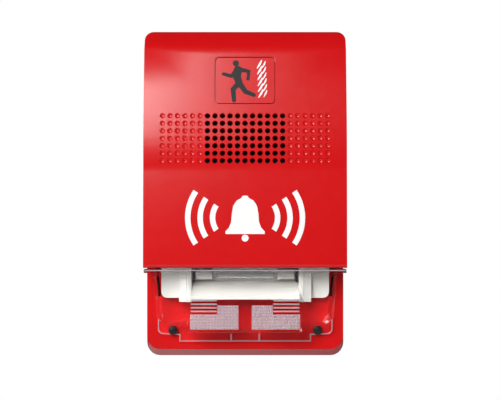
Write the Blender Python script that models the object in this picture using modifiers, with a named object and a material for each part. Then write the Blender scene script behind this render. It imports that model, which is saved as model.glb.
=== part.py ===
"""Wall horn strobe: a red hinged cover over a sounder, and a clear lens over a xenon strobe.

Units are metres. The wall is the plane Y = 0, the front faces -Y, X is to the right and Z is up.
The origin is the centre of the mounting plate's back face. A 'depth' is a distance in front of
the wall, so a point at depth d has Y = -d. Spans are (low, high) pairs.
"""
import math

import bmesh
import bpy
from mathutils import Matrix, Vector

# ---- Driving dimensions ----
BODY_WIDTH = 0.0790
BODY_HEIGHT = 0.1290
GAP = 0.0003                     # between pieces that touch
CUT = 0.0020                     # how far a cutter runs past the face it opens
ROUND_STEPS = 12                 # sides of a small round piece

# Rear housing
BASE_DEPTH = 0.0110
BASE_WALL = 0.0020
BASE_SIDE_DRAFT = 0.0006
BASE_TOP_DRAFT = 0.0003
BASE_FOOT_DRAFT = 0.0034
BASE_FOOT_RADIUS = 0.0051
BASE_HEAD_RADIUS = 0.0035
FLOOR_BACK = 0.0030              # depth of the floor's rear face in the upper compartment
FLOOR_FRONT = 0.0050
STROBE_TOP = -0.0283             # the cover's lower edge, where the strobe section starts
SILL = 0.0021                    # housing wall between the compartment and the strobe section

# Cover
COVER_WALL = 0.0022
COVER_FRONT = BASE_DEPTH + 0.0168    # greatest depth, at the lower edge
CREASE_DEPTH = BASE_DEPTH + 0.0152   # where the lower zone meets the sounder band
BAND_TOP_DEPTH = BASE_DEPTH + 0.0131
BROW_DEPTH = BASE_DEPTH + 0.0084     # where the upper zone meets the top bevel
CROWN_DEPTH = BASE_DEPTH + 0.0025
CREASE_HEIGHT = 0.0105
BAND_HEIGHT = 0.0236
UPPER_ZONE_HEIGHT = 0.0232
LIP_RADIUS = 0.0015
HINGE_LIMIT_GAP = 0.0003         # cover back rim to housing front rim

# Sounder grille
HOLE_PITCH = 0.00292
HOLE_RADIUS = 0.0010
HOLE_COLUMNS = 11
HOLE_ROWS = 7
HOLE_SIDES = 8
GRILLE_DROP = 0.0003             # grille centre below the middle of the band

# Symbol recess
PANEL_WIDTH = 0.0236
PANEL_HEIGHT = 0.0190
PANEL_RADIUS = 0.0018
PANEL_RECESS = 0.0012
INSERT_THICKNESS = 0.0007

# Mounting plate
PLATE_THICKNESS = 0.0015
PLATE_SIDE_MARGIN = 0.0065
PLATE_END_MARGIN = 0.0075
BOX_SCREW_SPACING = 0.0833
BOX_SLOT_LENGTH = 0.0084
BOX_SLOT_WIDTH = 0.0042
BOX_SCREW_HEAD = 0.0035          # radius of the box screw's head
BOX_SEAT_RISE = 0.0003           # land round each slot, as wide as the head's travel
HOOK_WIDTH = 0.0060
HOOK_SPREAD = 0.0360
HOOK_HEIGHT = 0.0440
HOOK_RISE = 0.0022

# Wire opening
WIRE_OPENING_WIDTH = 0.0280
WIRE_OPENING_TOP = -0.0135
WIRE_OPENING_FOOT = -0.0235

# Circuit board
BOARD_BACK = BASE_DEPTH - 0.0030
BOARD_THICKNESS = 0.0016
BOARD_MARGIN = 0.0024            # board edge to compartment wall
BOARD_SCREW_INSET = 0.0037
POST_RADIUS = 0.0024

# Screws
SMALL_SHANK = 0.0008
SMALL_HEAD = 0.0018
SMALL_HEAD_HEIGHT = 0.0014
PILOT_DEPTH = BASE_DEPTH - 0.0065
CAPTIVE_SHANK = 0.0015
CAPTIVE_HEAD = 0.0034
CAPTIVE_X = 0.0235
CAPTIVE_Z = -0.0170

# Terminal block
TERMINAL_PITCH = 0.0076
TERMINAL_COUNT = 4
TERMINAL_TOP = -0.0010
TERMINAL_HEIGHT = 0.0100
TERMINAL_BODY = 0.0050
TERMINAL_FIN = 0.0090
FIN_WIDTH = 0.0012
CLAMP_SIZE = 0.0054
CLAMP_THICKNESS = 0.0008
TERMINAL_SHANK = 0.0014
TERMINAL_HEAD = 0.0024

# Sounder
SOUNDER_Z = 0.0218
SOUNDER_RADIUS = 0.0200
SOUNDER_WALL = 0.0018
SOUNDER_DEPTH = 0.0086           # height of the sounder's housing over the board
SOUNDER_LEDGE = 0.0032
DIAPHRAGM_THICKNESS = 0.0002
PIEZO_RADIUS = 0.0125
SOUNDER_STEPS = 32

# Reflector
REFLECTOR_WALL = 0.0012
TROUGH_HALF = 0.0210
TROUGH_BACK = BASE_DEPTH + 0.0018
TROUGH_LIP = BASE_DEPTH + 0.0107
TROUGH_BEND = -0.0335
TROUGH_FOOT = -0.0392
LIP_DROP = 0.0016
COLUMN_WIDTH = 0.0049
COLUMN_CLEARANCE = 0.0004        # column front to the inside of the lens
COLUMN_FOOT = -0.0419
EAR_FOOT = -0.0405
EAR_DEPTH = BASE_DEPTH + 0.0040
EAR_RADIUS = 0.0022

# Flash tube
TUBE_Z = -0.0310
TUBE_DEPTH = BASE_DEPTH + 0.0055
TUBE_RADIUS = 0.0019
TUBE_HALF = 0.0125
CAP_LENGTH = 0.0066
CAP_RADIUS = 0.0022
HOLDER_THICKNESS = 0.0008
TRIGGER_WIRE = 0.0004            # radius of the trigger wire
TRIGGER_X = 0.0085               # where the wire meets the tube

# Lens
LENS_WALL = 0.0013
LENS_TOP_HALF = 0.0365
LENS_FOOT_HALF = 0.0348
LENS_FOOT = -0.0512
WING_DEPTH = BASE_DEPTH + 0.0090
WING_DRAFT = 0.0016
BLOCK_HALF = 0.0234
BLOCK_DRAFT = 0.0008
BLOCK_FOOT = -0.0540
BLOCK_SET_BACK = 0.0016          # lens face behind the cover's front
RAIL_THICKNESS = 0.0013
RAIL_BACK = WING_DEPTH - 0.0010
RAIL_OVERLAP = 0.0002            # rail ends inside the cover's sides
FLANGE_THICKNESS = 0.0012
FLANGE_FOOT = -0.0553
FLANGE_RISE = 0.0003             # the flange's foot edge climbs towards its ends
TONGUE_HALF = 0.0260
TONGUE_FOOT = -0.0579
LENS_HOOK_TOP = -0.0325
LENS_HOOK_FOOT = -0.0395
LENS_HOOK_THICKNESS = 0.0008
LENS_HOOK_INSET = 0.0010         # from the lens's side face to the hook
LENS_SCREW_X = 0.0286
LENS_SCREW_Z = -0.0534

# Slide switches: name, x, z, body length, travel of the slider
SWITCH_Z = 0.0500
SWITCHES = (
    ("candela", -0.0170, 0.0150, 0.0060),
    ("volume", 0.0045, 0.0090, 0.0020),
    ("tone", 0.0205, 0.0090, 0.0020),
)
SWITCH_WIDTH = 0.0044
SWITCH_BODY = 0.0036
SLIDER_LENGTH = 0.0028
SLIDER_WIDTH = 0.0018
SLIDER_HEIGHT = 0.0030
SWITCH_WELL = 0.0024

# ---- Derived values ----
HALF_WIDTH = BODY_WIDTH / 2
HALF_HEIGHT = BODY_HEIGHT / 2
RIM_HALF = HALF_WIDTH - BASE_SIDE_DRAFT
COMPARTMENT_HALF = RIM_HALF - BASE_WALL
COMPARTMENT_TOP = HALF_HEIGHT - BASE_TOP_DRAFT - BASE_WALL
COMPARTMENT_FOOT = STROBE_TOP + SILL
COVER_BACK = BASE_DEPTH + HINGE_LIMIT_GAP
BAND_TOP = CREASE_HEIGHT + BAND_HEIGHT
BROW_HEIGHT = BAND_TOP + UPPER_ZONE_HEIGHT
UPPER_SLOPE = (BAND_TOP_DEPTH - BROW_DEPTH) / UPPER_ZONE_HEIGHT
UPPER_TILT = math.atan(UPPER_SLOPE)
BOARD_FRONT = BOARD_BACK + BOARD_THICKNESS
BOARD_SEAT = BOARD_FRONT + GAP
BOARD_HALF = COMPARTMENT_HALF - BOARD_MARGIN
BOARD_TOP = COMPARTMENT_TOP - BOARD_MARGIN
BOARD_FOOT = COMPARTMENT_FOOT + BOARD_MARGIN
BOARD_SCREWS = [(side * (BOARD_HALF - BOARD_SCREW_INSET), z)
                for z in (BOARD_FOOT + BOARD_SCREW_INSET, BOARD_TOP - BOARD_SCREW_INSET)
                for side in (-1, 1)]
LENS_TOP = STROBE_TOP - 2 * GAP
LENS_BACK = BASE_DEPTH + GAP
LENS_FACE = COVER_FRONT - BLOCK_SET_BACK
LENS_HOOK_OUTER = LENS_TOP_HALF - LENS_HOOK_INSET
FLANGE_HALF = LENS_FOOT_HALF - GAP
EAR_FALL = (LENS_TOP - EAR_FOOT) / (LENS_TOP - LENS_FOOT)
EAR_SHARE = (EAR_DEPTH - LENS_BACK) / (WING_DEPTH - LENS_BACK)
WING_AT_EAR = LENS_TOP_HALF - (LENS_TOP_HALF - LENS_FOOT_HALF) * EAR_FALL - WING_DRAFT * EAR_SHARE
EAR_OUTER = WING_AT_EAR - LENS_WALL - 2 * GAP
REFLECTOR_TOP = STROBE_TOP + REFLECTOR_WALL
COLUMN_DEPTH = WING_DEPTH - LENS_WALL - COLUMN_CLEARANCE
TUBE_END = TUBE_HALF + GAP + CAP_LENGTH
HOLDER_X = TUBE_END + GAP
SHANK_CLEARANCE = 2 * GAP

# Turns a front-view outline (x, z) so that its local +Z points out of the wall.
FRONT_VIEW = Matrix.Rotation(math.pi / 2, 4, "X")
# Turns a side-view outline (depth, z) so that its thickness lies along X.
SIDE_VIEW = Matrix(((0, 0, -1), (-1, 0, 0), (0, 1, 0))).to_4x4()
# Turns a plan-view outline (x, depth) so that its thickness lies along Z.
PLAN_VIEW = Matrix(((1, 0, 0), (0, -1, 0), (0, 0, -1))).to_4x4()


# ---- Scene and objects ----
def clear_scene():
    for obj in list(bpy.data.objects):
        bpy.data.objects.remove(obj, do_unlink=True)


def make_collection(name):
    collection = bpy.data.collections.new(name)
    bpy.context.scene.collection.children.link(collection)
    return collection


clear_scene()
PARTS = make_collection("horn_strobe")
TOOLS = make_collection("horn_strobe_tools")


def at(x, depth, z):
    return Vector((x, -depth, z))


def part(name, mesh, finish):
    """A visible piece of the product, with a material of its own."""
    obj = bpy.data.objects.new(name, mesh)
    PARTS.objects.link(obj)
    colour, roughness, metallic = finish
    material = bpy.data.materials.new(name)
    material.use_nodes = True
    shader = material.node_tree.nodes["Principled BSDF"]
    shader.inputs["Base Color"].default_value = (*colour, 1.0)
    shader.inputs["Roughness"].default_value = roughness
    shader.inputs["Metallic"].default_value = metallic
    mesh.materials.clear()
    mesh.materials.append(material)
    return obj


def tool(name, mesh):
    """A guide solid that shapes a part and is never drawn itself."""
    obj = bpy.data.objects.new(name, mesh)
    TOOLS.objects.link(obj)
    obj.hide_render = True
    obj.display_type = "WIRE"
    return obj


def shape(target, guide, operation="DIFFERENCE"):
    modifier = target.modifiers.new(guide.name, "BOOLEAN")
    modifier.operation = operation
    modifier.solver = "EXACT"
    modifier.object = guide


def cut(target, name, mesh):
    shape(target, tool(name, mesh))


def join(target, name, mesh):
    shape(target, tool(name, mesh), "UNION")


def smooth(obj, angle=40.0):
    obj.data.shade_smooth()
    obj.data.set_sharp_from_angle(angle=math.radians(angle))


# ---- Meshes ----
def mesh_from(bm, name):
    mesh = bpy.data.meshes.new(name)
    bm.normal_update()
    bm.to_mesh(mesh)
    bm.free()
    return mesh


def add_box(bm, xs, depths, zs):
    """A box between two (low, high) pairs on each axis."""
    size = Vector((xs[1] - xs[0], depths[1] - depths[0], zs[1] - zs[0]))
    centre = at(sum(xs) / 2, sum(depths) / 2, sum(zs) / 2)
    matrix = Matrix.Translation(centre) @ Matrix.Diagonal((*size, 1.0))
    return bmesh.ops.create_cube(bm, size=1.0, matrix=matrix)["verts"]


def box_mesh(name, *boxes):
    bm = bmesh.new()
    for xs, depths, zs in boxes:
        add_box(bm, xs, depths, zs)
    return mesh_from(bm, name)


def both_sides(xs, depths, zs):
    """The same box on the right and on the left."""
    return (xs, depths, zs), ((-xs[1], -xs[0]), depths, zs)


def rod_mesh(name, radius, depths, centres, sides=ROUND_STEPS):
    """Round bars along Y, one for each (x, z) centre."""
    bm = bmesh.new()
    length = depths[1] - depths[0]
    for x, z in centres:
        matrix = Matrix.Translation(at(x, sum(depths) / 2, z)) @ FRONT_VIEW
        bmesh.ops.create_cone(bm, cap_ends=True, segments=sides, radius1=radius, radius2=radius,
                              depth=length, matrix=matrix)
    return mesh_from(bm, name)


def bar_mesh(name, radius, xs, depth, z, sides=ROUND_STEPS):
    """A round bar along X."""
    bm = bmesh.new()
    matrix = Matrix.Translation(at(sum(xs) / 2, depth, z)) @ Matrix.Rotation(math.pi / 2, 4, "Y")
    bmesh.ops.create_cone(bm, cap_ends=True, segments=sides, radius1=radius, radius2=radius,
                          depth=xs[1] - xs[0], matrix=matrix)
    return mesh_from(bm, name)


def arc(centre, radius, start, end, steps):
    """Points of an arc, in degrees, both ends included."""
    angles = [math.radians(start + (end - start) * i / steps) for i in range(steps + 1)]
    return [(centre[0] + radius * math.cos(a), centre[1] + radius * math.sin(a)) for a in angles]


def rounded_rect(us, vs, radius, steps=4):
    """A rectangle with round corners, anticlockwise from the lower right corner."""
    corners = ((us[1] - radius, vs[0] + radius, -90), (us[1] - radius, vs[1] - radius, 0),
               (us[0] + radius, vs[1] - radius, 90), (us[0] + radius, vs[0] + radius, 180))
    points = []
    for u, v, start in corners:
        points += arc((u, v), radius, start, start + 90, steps)
    return points


def circle(u, v, radius, sides=ROUND_STEPS):
    return arc((u, v), radius, 0, 360 - 360 / sides, sides - 1)


def outline_mesh(name, loops, span, view):
    """A flat outline, with its holes, extruded over a span of its view's thickness."""
    curve = bpy.data.curves.new(name, "CURVE")
    curve.dimensions = "2D"
    curve.fill_mode = "BOTH"
    curve.extrude = (span[1] - span[0]) / 2
    for loop in loops:
        spline = curve.splines.new("POLY")
        spline.points.add(len(loop) - 1)
        for point, (u, v) in zip(spline.points, loop):
            point.co = (u, v, 0.0, 1.0)
        spline.use_cyclic_u = True
    guide = bpy.data.objects.new(name, curve)
    bpy.context.scene.collection.objects.link(guide)
    guide.matrix_world = view @ Matrix.Translation((0.0, 0.0, sum(span) / 2))
    return mesh_of_curve(guide)


def mesh_of_curve(guide):
    """The welded mesh of a curve object, in world space; the curve itself is removed."""
    bpy.context.view_layer.update()
    evaluated = guide.evaluated_get(bpy.context.evaluated_depsgraph_get())
    mesh = bpy.data.meshes.new_from_object(evaluated)
    bm = bmesh.new()
    bm.from_mesh(mesh)
    bmesh.ops.remove_doubles(bm, verts=bm.verts, dist=1e-6)
    bm.transform(guide.matrix_world)
    bmesh.ops.recalc_face_normals(bm, faces=bm.faces)
    bm.to_mesh(mesh)
    bm.free()
    mesh.name = guide.name
    bpy.data.objects.remove(guide, do_unlink=True)
    return mesh


def wire_mesh(name, points, radius):
    """A thin round wire through a list of world points."""
    curve = bpy.data.curves.new(name, "CURVE")
    curve.dimensions = "3D"
    curve.bevel_depth = radius
    curve.bevel_resolution = 2
    curve.use_fill_caps = True
    spline = curve.splines.new("POLY")
    spline.points.add(len(points) - 1)
    for point, place in zip(spline.points, points):
        point.co = (*place, 1.0)
    guide = bpy.data.objects.new(name, curve)
    bpy.context.scene.collection.objects.link(guide)
    return mesh_of_curve(guide)


def eased(points, steps):
    """A smooth curve through the points, by a Catmull-Rom rule, both ends included."""
    padded = [points[0], *points, points[-1]]
    result = []
    for a, b, c, d in zip(padded, padded[1:], padded[2:], padded[3:]):
        for i in range(steps):
            t = i / steps
            result.append(0.5 * (2 * b + (c - a) * t + (2 * a - 5 * b + 4 * c - d) * t * t
                                 + (3 * b - a - 3 * c + d) * t ** 3))
    return [*result, points[-1]]


def turned(name, profile, x, depth, z, finish, steps=ROUND_STEPS):
    """A piece turned about an axis along Y: (radius, height) from its front face to its back."""
    bm = bmesh.new()
    verts = [bm.verts.new((radius, 0.0, height)) for radius, height in profile]
    for first, second in zip(verts, verts[1:]):
        bm.edges.new((first, second))
    if profile[0][0] > 0:
        bm.edges.new((verts[-1], verts[0]))
    obj = part(name, mesh_from(bm, name), finish)
    screw = obj.modifiers.new("turn", "SCREW")
    screw.axis = "Z"
    screw.angle = math.tau
    screw.steps = steps
    screw.render_steps = steps
    screw.use_merge_vertices = True
    screw.merge_threshold = 0.00001
    obj.matrix_world = Matrix.Translation(at(x, depth, z)) @ FRONT_VIEW
    return obj


# ---- Finishes: colour, roughness, metallic ----
RED_PLASTIC = ((0.62, 0.012, 0.014), 0.38, 0.0)
WHITE_PLASTIC = ((0.78, 0.76, 0.70), 0.35, 0.0)
CLEAR_PLASTIC = ((0.92, 0.93, 0.94), 0.08, 0.0)
BLACK_PLASTIC = ((0.02, 0.02, 0.02), 0.45, 0.0)
CREAM_PLASTIC = ((0.72, 0.66, 0.52), 0.45, 0.0)
BLACK_STEEL = ((0.03, 0.03, 0.03), 0.40, 0.8)
ZINC_STEEL = ((0.62, 0.62, 0.60), 0.35, 1.0)
BRASS = ((0.72, 0.52, 0.22), 0.30, 1.0)
COPPER = ((0.72, 0.36, 0.20), 0.35, 1.0)
CERAMIC = ((0.85, 0.84, 0.78), 0.50, 0.0)
GLASS = ((0.90, 0.92, 0.94), 0.05, 0.0)
BOARD_GREEN = ((0.02, 0.16, 0.06), 0.45, 0.0)
FOAM = ((0.05, 0.05, 0.05), 0.90, 0.0)
RED_WIRE = ((0.55, 0.02, 0.02), 0.45, 0.0)
BLACK_WIRE = ((0.02, 0.02, 0.02), 0.45, 0.0)


# ---- Mounting plate ----
def hook_outline():
    """Side view of a hook that stands out of the plate and turns up behind the housing's floor."""
    rise = FLOOR_FRONT + GAP
    tip = rise + PLATE_THICKNESS * 0.8
    foot = HOOK_HEIGHT - PLATE_THICKNESS
    return [(PLATE_THICKNESS / 2, foot), (tip, foot), (tip, HOOK_HEIGHT + HOOK_RISE),
            (rise, HOOK_HEIGHT + HOOK_RISE), (rise, HOOK_HEIGHT), (PLATE_THICKNESS / 2, HOOK_HEIGHT)]


def hook_span(side):
    return (side * HOOK_SPREAD / 2 - HOOK_WIDTH / 2, side * HOOK_SPREAD / 2 + HOOK_WIDTH / 2)


def wire_opening(margin):
    """Front-view rectangle of the wire opening, grown by a margin."""
    half = WIRE_OPENING_WIDTH / 2 + margin
    return rounded_rect((-half, half), (WIRE_OPENING_FOOT - margin, WIRE_OPENING_TOP + margin), 0.0012)


def screw_travel(z, radius):
    """Front-view outline that a disc sweeps as it moves along a box screw's slot."""
    travel = (BOX_SLOT_LENGTH - BOX_SLOT_WIDTH) / 2
    return rounded_rect((-travel - radius, travel + radius), (z - radius, z + radius), radius - 0.0001)


def make_mounting_plate():
    half = HALF_WIDTH - PLATE_SIDE_MARGIN
    reach = HALF_HEIGHT - PLATE_END_MARGIN
    loops = [rounded_rect((-half, half), (-reach, reach), 0.0030), wire_opening(0.0020),
             circle(CAPTIVE_X, CAPTIVE_Z, CAPTIVE_SHANK + GAP)]
    mesh = outline_mesh("mounting_plate", loops, (0.0, PLATE_THICKNESS), FRONT_VIEW)
    plate = part("mounting_plate", mesh, ZINC_STEEL)
    seat_front = PLATE_THICKNESS + BOX_SEAT_RISE
    for z, word in ((-BOX_SCREW_SPACING / 2, "bottom"), (BOX_SCREW_SPACING / 2, "top")):
        join(plate, "seat_" + word,
             outline_mesh("seat_" + word, [screw_travel(z, BOX_SCREW_HEAD)],
                          (PLATE_THICKNESS / 2, seat_front), FRONT_VIEW))
        cut(plate, "slot_" + word,
            outline_mesh("slot_" + word, [screw_travel(z, BOX_SLOT_WIDTH / 2)],
                         (-CUT, seat_front + CUT), FRONT_VIEW))
    for side, word in ((-1, "left"), (1, "right")):
        left, right = hook_span(side)
        join(plate, "hook_" + word,
             outline_mesh("hook_" + word, [hook_outline()], (-right, -left), SIDE_VIEW))


# ---- Rear housing ----
def drafted_shell():
    """The housing's outer form: narrower at its front rim, most of all at its foot."""
    bm = bmesh.new()
    verts = add_box(bm, (-HALF_WIDTH, HALF_WIDTH), (0.0, BASE_DEPTH), (-HALF_HEIGHT, HALF_HEIGHT))
    for vert in verts:
        if vert.co.y < -BASE_DEPTH / 2:
            vert.co.x -= math.copysign(BASE_SIDE_DRAFT, vert.co.x)
            vert.co.z += BASE_FOOT_DRAFT if vert.co.z < 0 else -BASE_TOP_DRAFT
    for low, radius in ((True, BASE_FOOT_RADIUS), (False, BASE_HEAD_RADIUS)):
        edges = [edge for edge in bm.edges
                 if abs(edge.verts[0].co.y - edge.verts[1].co.y) > BASE_DEPTH / 2
                 and (edge.verts[0].co.z < 0) == low]
        bmesh.ops.bevel(bm, geom=edges, offset=radius, offset_type="OFFSET", segments=5,
                        profile=0.5, affect="EDGES")
    return mesh_from(bm, "rear_housing")


def foot_inside(depth):
    """Height of the housing's foot wall on its inner side at a depth."""
    return -HALF_HEIGHT + BASE_FOOT_DRAFT * depth / BASE_DEPTH + BASE_WALL


def make_rear_housing():
    housing = part("rear_housing", drafted_shell(), RED_PLASTIC)
    inner = (-COMPARTMENT_HALF, COMPARTMENT_HALF)
    compartment = rounded_rect(inner, (COMPARTMENT_FOOT, COMPARTMENT_TOP), BASE_HEAD_RADIUS - BASE_WALL)
    cut(housing, "compartment",
        outline_mesh("compartment", [compartment], (FLOOR_FRONT, BASE_DEPTH + CUT), FRONT_VIEW))
    face_back = BASE_DEPTH - BASE_WALL
    back_profile = [(-CUT, foot_inside(0.0)), (FLOOR_BACK, foot_inside(FLOOR_BACK)),
                    (face_back, foot_inside(face_back)), (face_back, STROBE_TOP),
                    (FLOOR_BACK, STROBE_TOP), (FLOOR_BACK, COMPARTMENT_TOP), (-CUT, COMPARTMENT_TOP)]
    cut(housing, "back_hollow", outline_mesh("back_hollow", [back_profile], inner, SIDE_VIEW))
    inside = (FLOOR_FRONT + FLOOR_BACK) / 2
    join(housing, "board_posts",
         rod_mesh("board_posts", POST_RADIUS, (inside, BOARD_BACK - GAP), BOARD_SCREWS))
    lens_screws = [(-LENS_SCREW_X, LENS_SCREW_Z), (LENS_SCREW_X, LENS_SCREW_Z)]
    join(housing, "lens_posts",
         rod_mesh("lens_posts", POST_RADIUS, (FLOOR_BACK, face_back + GAP), lens_screws))
    pilot = SMALL_SHANK + GAP
    cut(housing, "pilots", rod_mesh("pilots", pilot, (PILOT_DEPTH, BASE_DEPTH + CUT),
                                    BOARD_SCREWS + lens_screws, 8))
    through = (FLOOR_BACK - CUT, FLOOR_FRONT + CUT)
    cut(housing, "wire_way", outline_mesh("wire_way", [wire_opening(0.0)], through, FRONT_VIEW))
    cut(housing, "floor_holes", rod_mesh("floor_holes", CAPTIVE_SHANK + SHANK_CLEARANCE, through,
                                         [(CAPTIVE_X, CAPTIVE_Z)]))
    relief = screw_travel(BOX_SCREW_SPACING / 2, BOX_SCREW_HEAD + 2 * GAP)
    cut(housing, "box_screw_relief", outline_mesh("box_screw_relief", [relief], through, FRONT_VIEW))
    hook_room = [((hook_span(side)[0] - GAP, hook_span(side)[1] + GAP), through,
                  (HOOK_HEIGHT - PLATE_THICKNESS - GAP, HOOK_HEIGHT + HOOK_RISE + GAP)) for side in (-1, 1)]
    cut(housing, "hook_slots", box_mesh("hook_slots", *hook_room))
    slot = (LENS_HOOK_OUTER - LENS_HOOK_THICKNESS - 2 * GAP, LENS_HOOK_OUTER + GAP)
    cut(housing, "lens_slots",
        box_mesh("lens_slots", *both_sides(slot, (face_back - CUT, BASE_DEPTH + CUT),
                                           (LENS_HOOK_FOOT - 2 * GAP, LENS_HOOK_TOP + 2 * GAP))))
    smooth(housing)


# ---- Cover ----
def band_point(share):
    """A point (depth, z) of the sounder band's bulge, from its lower crease to its top."""
    leaning = math.radians(-2.0)
    slope = leaning + (math.radians(12.0) - leaning) * share / 2
    drop = BAND_HEIGHT * share * math.tan(slope)
    full = BAND_HEIGHT * math.tan(leaning + (math.radians(12.0) - leaning) / 2)
    return CREASE_DEPTH - (CREASE_DEPTH - BAND_TOP_DEPTH) * drop / full, CREASE_HEIGHT + BAND_HEIGHT * share


def cover_front_line(inset):
    """The cover's front seen from the side, from its lower edge to its crown, inset by a wall."""
    lip = STROBE_TOP + LIP_RADIUS
    sag = (COVER_FRONT - CREASE_DEPTH) * 0.62
    mid = (lip + CREASE_HEIGHT) / 2
    line = [(COVER_FRONT - inset, lip), (CREASE_DEPTH + sag - inset, mid)]
    line += [(depth - inset, z) for depth, z in map(band_point, (0.0, 0.2, 0.4, 0.6, 0.8, 1.0))]
    line.append((BROW_DEPTH - inset, BROW_HEIGHT))
    return line


def cover_outer_profile():
    crown = HALF_HEIGHT - 0.0012
    bottom = arc((COVER_FRONT - LIP_RADIUS, STROBE_TOP + LIP_RADIUS), LIP_RADIUS, -90, 0, 3)[:-1]
    return [(COVER_BACK, STROBE_TOP), *bottom, *cover_front_line(0.0),
            (CROWN_DEPTH + 0.0006, crown), (CROWN_DEPTH - 0.0006, HALF_HEIGHT), (COVER_BACK, HALF_HEIGHT)]


def cover_inner_profile():
    below = STROBE_TOP - CUT
    line = cover_front_line(COVER_WALL)
    top = HALF_HEIGHT - COVER_WALL
    brow = line[-1]
    return [(COVER_BACK - CUT, below), (line[0][0], below), *line[:-1], (brow[0], brow[1] - COVER_WALL / 2),
            (CROWN_DEPTH - COVER_WALL / 2, top), (COVER_BACK - CUT, top)]


def grille_centres():
    """Centres (x, z) of the open holes, centred in the sounder band."""
    middle = CREASE_HEIGHT + BAND_HEIGHT / 2 - GRILLE_DROP
    columns = [(i - (HOLE_COLUMNS - 1) / 2) * HOLE_PITCH for i in range(HOLE_COLUMNS)]
    rows = [middle + (i - (HOLE_ROWS - 1) / 2) * HOLE_PITCH for i in range(HOLE_ROWS)]
    return [(x, z) for z in rows for x in columns]


def upper_zone_view(height_share):
    """Front view tilted to the cover's upper zone, with its origin on the outer face."""
    z = BAND_TOP + UPPER_ZONE_HEIGHT * height_share
    depth = BAND_TOP_DEPTH - UPPER_SLOPE * UPPER_ZONE_HEIGHT * height_share
    return Matrix.Translation(at(0.0, depth, z)) @ Matrix.Rotation(-UPPER_TILT, 4, "X") @ FRONT_VIEW


def panel_outline(margin):
    half_u = PANEL_WIDTH / 2 - margin
    half_v = PANEL_HEIGHT / 2 - margin
    return rounded_rect((-half_u, half_u), (-half_v, half_v), PANEL_RADIUS - margin, 3)


def make_front_cover():
    mesh = outline_mesh("front_cover", [cover_outer_profile()], (-HALF_WIDTH, HALF_WIDTH), SIDE_VIEW)
    cover = part("front_cover", mesh, RED_PLASTIC)
    corners = rounded_rect((-HALF_WIDTH, HALF_WIDTH), (STROBE_TOP - HALF_HEIGHT, HALF_HEIGHT),
                           BASE_HEAD_RADIUS, 5)
    plan = outline_mesh("cover_corners", [corners], (0.0, COVER_FRONT + CUT), FRONT_VIEW)
    shape(cover, tool("cover_corners", plan), "INTERSECT")
    inner_half = HALF_WIDTH - COVER_WALL
    cut(cover, "cover_hollow",
        outline_mesh("cover_hollow", [cover_inner_profile()], (-inner_half, inner_half), SIDE_VIEW))
    hook = (COVER_BACK - 0.0030, COVER_BACK + 0.0022)
    hook_top = COMPARTMENT_TOP - GAP
    join(cover, "cover_hooks",
         box_mesh("cover_hooks", *both_sides((0.0180, 0.0260), hook, (hook_top - 0.0014, hook_top))))
    join(cover, "hook_webs",
         box_mesh("hook_webs", *both_sides((0.0180, 0.0260), (COVER_BACK + 0.0004, COVER_BACK + 0.0018),
                                           (hook_top - 0.0010, HALF_HEIGHT - COVER_WALL / 2))))
    snap_outer = COMPARTMENT_HALF - 2 * GAP
    join(cover, "snap_arms",
         box_mesh("snap_arms", *both_sides((snap_outer - 0.0014, snap_outer),
                                           (COVER_BACK - 0.0040, COVER_BACK + 0.0030), (-0.0180, -0.0100))))
    join(cover, "snap_webs",
         box_mesh("snap_webs", *both_sides((snap_outer - 0.0006, HALF_WIDTH - COVER_WALL / 2),
                                           (COVER_BACK + 0.0006, COVER_BACK + 0.0024), (-0.0170, -0.0110))))
    cut(cover, "grille", rod_mesh("grille", HOLE_RADIUS, (CREASE_DEPTH - 2 * COVER_WALL, COVER_FRONT),
                                  grille_centres(), HOLE_SIDES))
    cut(cover, "panel_recess",
        outline_mesh("panel_recess", [panel_outline(0.0)], (-PANEL_RECESS, CUT), upper_zone_view(0.46)))
    insert = outline_mesh("symbol_insert", [panel_outline(GAP)],
                          (GAP - PANEL_RECESS, GAP - PANEL_RECESS + INSERT_THICKNESS), upper_zone_view(0.46))
    symbol = part("symbol_insert", insert, RED_PLASTIC)
    smooth(cover, 25.0)
    return [cover, symbol, make_acoustic_screen()]


def make_acoustic_screen():
    """Dark cloth against the cover's inner face, behind the open holes."""
    low, high = band_point(0.0), band_point(1.0)
    tilt = math.atan((low[0] - high[0]) / (high[1] - low[1]))
    middle = band_point(0.5)
    view = (Matrix.Translation(at(0.0, low[0] / 2 + high[0] / 2 - COVER_WALL - 2 * GAP, middle[1]))
            @ Matrix.Rotation(-tilt, 4, "X") @ FRONT_VIEW)
    half_u = HOLE_COLUMNS * HOLE_PITCH / 2 + 0.0010
    half_v = HOLE_ROWS * HOLE_PITCH / 2 + 0.0008
    mesh = outline_mesh("acoustic_screen", [rounded_rect((-half_u, half_u), (-half_v, half_v), 0.0010, 2)],
                        (-0.0006, -0.0002), view)
    return part("acoustic_screen", mesh, FOAM)


def hang_on_axis(name, point, pieces):
    """Parents pieces to an empty that stands on their joint's axis."""
    axis = bpy.data.objects.new(name, None)
    PARTS.objects.link(axis)
    axis.location = point
    for piece in pieces:
        piece.parent = axis
        piece.matrix_parent_inverse = Matrix.Translation(point).inverted()


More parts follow.
